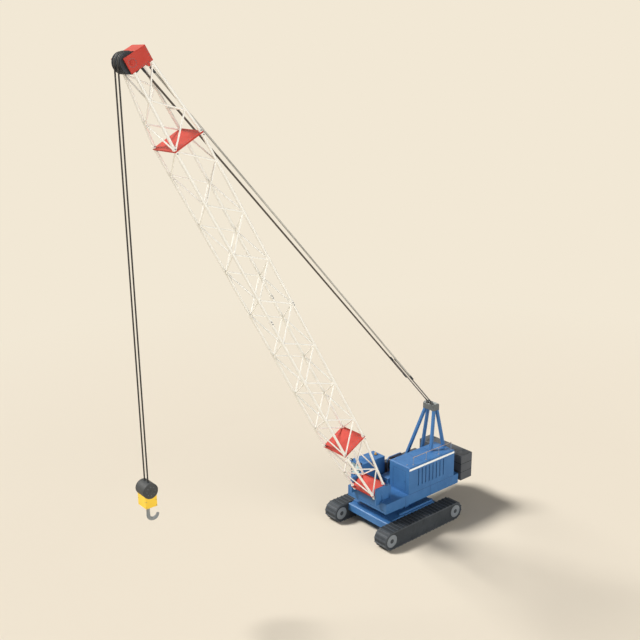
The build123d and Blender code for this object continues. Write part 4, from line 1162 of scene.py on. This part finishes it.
lines = {
    "headPin": (25.45, 0.285),  # along the boom and up from its middle
    "headerPin": (2.76, 6.412),
    "pendants": (0.376, 0.245),  # half their spacing at the head and at their lower end
    "falls": 0.15,
    "overlap": (2.465, 4.45),  # from the header pin to the pendants' lower end, and to the falls' upper end
}
headPin, headerPin = onBoom(0, *lines["headPin"]), Vector((0, *lines["headerPin"]))
lineWay = (headerPin - headPin).normalized()
upper, lower = bmesh.new(), bmesh.new()
pendantEnd = [(0.049, 0), (0.053, 0.03), (0.053, 0.35), (0.05, 0.38), (0.049, 0.38), (0.049, 0)]
fallEnd = [(0.033, 0), (0.038, 0.01), (0.038, 0.16), (0.034, 0.22), (0.033, 0.22), (0.033, 0)]
for side in (-1, 1):
    atHead, below = (Vector((side * half, 0, 0)) for half in lines["pendants"])
    begin, end = headPin + atHead, headerPin - lineWay * lines["overlap"][0] + below
    way = (end - begin).normalized()
    across = way.cross(Vector((0, 0, 1)))
    addTurned(upper, collar(0.043, 0.05, 0.3, 0.004, 0.24), framed(begin + way * 0.12, way, across), 20)
    addTurned(upper, pendantEnd, framed(end - way * 0.38, way, across), 20)
    pin = headerPin + Vector((side * lines["falls"], 0, 0))
    addTurned(lower, fallEnd, framed(pin - lineWay * 0.1, -lineWay, (1, 0, 0)), 20)
    place = framed(pin - lineWay * lines["overlap"][1], lineWay, (1, 0, 0))
    addTurned(lower, collar(0, 0.044, 0.26, 0.01, 0.2), place, 20)
finished("pendant_sockets", upper, "darkSteel", "pendants", True)
finished("fall_sockets", lower, "darkSteel", "luffing_rope", True)


hookBlock = {
    "y": -15.2707,
    "axis": 7.056,
    "radius": 0.355,
    "half": 0.362,
    "cheek": 0.014,
    "body": (0.346, 0.277),  # half its width and depth
    "bolts": 6.32,
    "ropes": ((-0.146, 0.146), 7.398),
    "neck": 6.236,
}
y, rim, thick = hookBlock["y"], hookBlock["radius"], hookBlock["cheek"]
cheekProfile = [(0, thick), (0.3, thick), (0.31, thick - 0.004), (rim - 0.012, thick - 0.004), (rim, 0), (0, 0)]
cheeks = bmesh.new()
bolts = []
for side in (-1, 1):
    out = Vector((side, 0, 0))
    centre = Vector((side * hookBlock["half"], y, hookBlock["axis"]))
    addTurned(cheeks, cheekProfile, framed(centre, out, (0, 1, 0)), 56)
    addTurned(cheeks, collar(0, 0.06, 0.02, 0.01, 0.012), framed(centre + out * thick, out, (0, 1, 0)), 28)
    bolts += boltCircle(8, centre + out * thick, out, 0.2, 0.014)
finished("hook_block_cheeks", cheeks, "drumPaint", "load_line", True)
entries = bmesh.new()
entry = [(0.0345, 0), (0.055, 0), (0.05, 0.04), (0.04, 0.05), (0.0345, 0.05), (0.0345, 0)]
for x in hookBlock["ropes"][0]:
    addTurned(entries, entry, standing((x, y, hookBlock["ropes"][1])), 24)
neck = [(0.088, 0), (0.118, 0.004), (0.122, 0.012), (0.122, 0.031), (0.088, 0.031), (0.088, 0)]
addTurned(entries, neck, standing((0, y, hookBlock["neck"])), 40)
finished("rope_entries", entries, "darkSteel", "load_line", True)
(wide, deep), z = hookBlock["body"], hookBlock["bolts"]
for side in (-1, 1):
    for out in (-0.235, 0.235):
        bolts += boltLine(2, (side * wide, y + out, z), (0, 0, 0.27), 0.013, (side, 0, 0))
    for x in (-0.29, 0.29):
        bolts += boltLine(2, (x, y + side * deep, z), (0, 0, 0.27), 0.013, (0, side, 0))
planted("hook_block_bolts", bolts, "boltSteel", "load_line")

hookShape = {"thickness": 0.085, "bend": 0.24, "back": 0.225, "centre": 5.765, "sweep": 170, "shank": 0.078}
bend, middle = hookShape["bend"], hookShape["centre"]
path = [(0, y - out, z) for out, z in ((0, 6.261), (0, 6.18), (0.002, 6.08), (0.007, 5.97), (0.012, 5.87))]
thickness = [hookShape["shank"]] * 4 + [0.08]
for share in (i / 24 for i in range(25)):
    turn = radians(180 + hookShape["sweep"] * share)
    path.append((0, y + hookShape["back"] + bend * cos(turn), middle + bend * sin(turn)))
    thickness.append(hookShape["thickness"] * (1 - 0.3 * max(0, share - 0.72) / 0.28))
hook = bmesh.new()
addTube(hook, path, thickness, 28)
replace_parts(finished("hook_forging", hook, "hookSteel", "hook_swivel", True), "hook")
print("hook block dressed")


reeving = {"sheaveRadius": 0.4245, "ropeRadius": 0.034, "ropeX": 0.146, "start": 58, "sweep": 138}
windings = {  # the radius of each barrel, of its rope, and its turns
    "hoist": (0.25, 0.014, 30),
    "luffing": (0.11, 0.012, 34),
}
centre = sum(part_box("head_sheaves"), Vector()) / 2
over = grow(
    ropeArcs, "darkRope", Count=2, Step=(0, 0, 2 * reeving["ropeX"]), Radius=reeving["sheaveRadius"],
    Start=radians(reeving["start"]), Sweep=radians(reeving["sweep"]), RopeRadius=reeving["ropeRadius"],
)
place = acrossX(-reeving["ropeX"], centre.y, centre.z)
planted("rope_over_sheaves", [(over, place)], "darkRope", "boom", True)
span = 0.76
for name, (barrel, rope, turns) in windings.items():
    centre = sum(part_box(name + "_drum"), Vector()) / 2
    size = {"Turns": float(turns), "Radius": barrel + rope * 0.9, "Length": span, "RopeRadius": rope, "Steps": 32}
    place = acrossX(centre.x - span / 2, centre.y, centre.z)
    planted(name + "_drum_rope", [(grow(ropeCoil, "darkRope", **size), place)], "darkRope", name + "_winch", True)
print("ropes wound")


cream = fromScreen((242, 232, 213))
scene.world = bpy.data.worlds.new("studio")
scene.world.use_nodes = True
tree = scene.world.node_tree
plain = tree.nodes["Background"]
plain.inputs["Color"].default_value = (0.95, 0.96, 1.0, 1)
plain.inputs["Strength"].default_value = 0.15
ray = put(tree, "ShaderNodeLightPath").outputs
seen = maths(tree, "MAXIMUM", ray["Is Camera Ray"], ray["Is Transmission Ray"])
seen = maths(tree, "MAXIMUM", seen, ray["Is Glossy Ray"])
pick = put(tree, "ShaderNodeMixShader", {0: seen, 1: plain, 2: put(tree, "ShaderNodeBackground", {"Color": cream})})
feed(tree, tree.nodes["World Output"].inputs["Surface"], pick)

ground = {"shade": (217, 207, 190), "fade": (18, 48), "reach": 900}
floorMaterial = bpy.data.materials.new("floor")
floorMaterial.use_nodes = True
tree = floorMaterial.node_tree
shader = tree.nodes["Principled BSDF"]
shader.inputs["Base Color"].default_value = fromScreen(ground["shade"])
shader.inputs["Roughness"].default_value = 0.9
shader.inputs["Specular IOR Level"].default_value = 0.1
away = put(tree, "ShaderNodeVectorMath", {0: objectPlace(tree)}, operation="LENGTH").outputs["Value"]
glow = put(tree, "ShaderNodeEmission", {"Color": cream, "Strength": 1.0})
blend = put(tree, "ShaderNodeMixShader", {0: between(tree, away, *ground["fade"]), 1: shader, 2: glow})
feed(tree, tree.nodes["Material Output"].inputs["Surface"], blend)
floorMesh = bpy.data.meshes.new("floor")
corners = [(x * ground["reach"], y * ground["reach"], 0) for x, y in ((-1, -1), (1, -1), (1, 1), (-1, 1))]
floorMesh.from_pydata(corners, [], [(0, 1, 2, 3)])
floorMesh.materials.append(floorMaterial)
floor = bpy.data.objects.new("floor", floorMesh)
scene.collection.objects.link(floor)
floor.location.z = -0.001

lamps = {  # the way the light travels, its strength, softness in degrees and colour
    "keyLight": ((0.65, 0.62, -1.0), 4.05, 15, (1, 0.99, 0.97)),
    "fillLight": ((-1.0, 0.0, -0.12), 2.4, 60, (1, 1, 1)),
}
for name, (way, strength, soft, colour) in lamps.items():
    light = bpy.data.lights.new(name, "SUN")
    light.energy, light.angle, light.color = strength, radians(soft), colour
    lamp = bpy.data.objects.new(name, light)
    scene.collection.objects.link(lamp)
    lamp.rotation_euler = Vector(way).to_track_quat("-Z", "Y").to_euler()

view = {"place": (32.541, -32.078, 25.265), "turn": 48.372, "down": 16.421, "lens": 50, "shift": -0.0502}
lens = bpy.data.cameras.new("camera")
lens.lens, lens.sensor_width, lens.shift_x, lens.clip_end = view["lens"], 36, view["shift"], 2000
camera = bpy.data.objects.new("camera", lens)
scene.collection.objects.link(camera)
camera.location = view["place"]
camera.rotation_euler = (radians(90 - view["down"]), 0, radians(view["turn"]))
scene.camera = camera
scene.view_settings.view_transform = "Standard"
print("studio set")

bpy.context.view_layer.update()
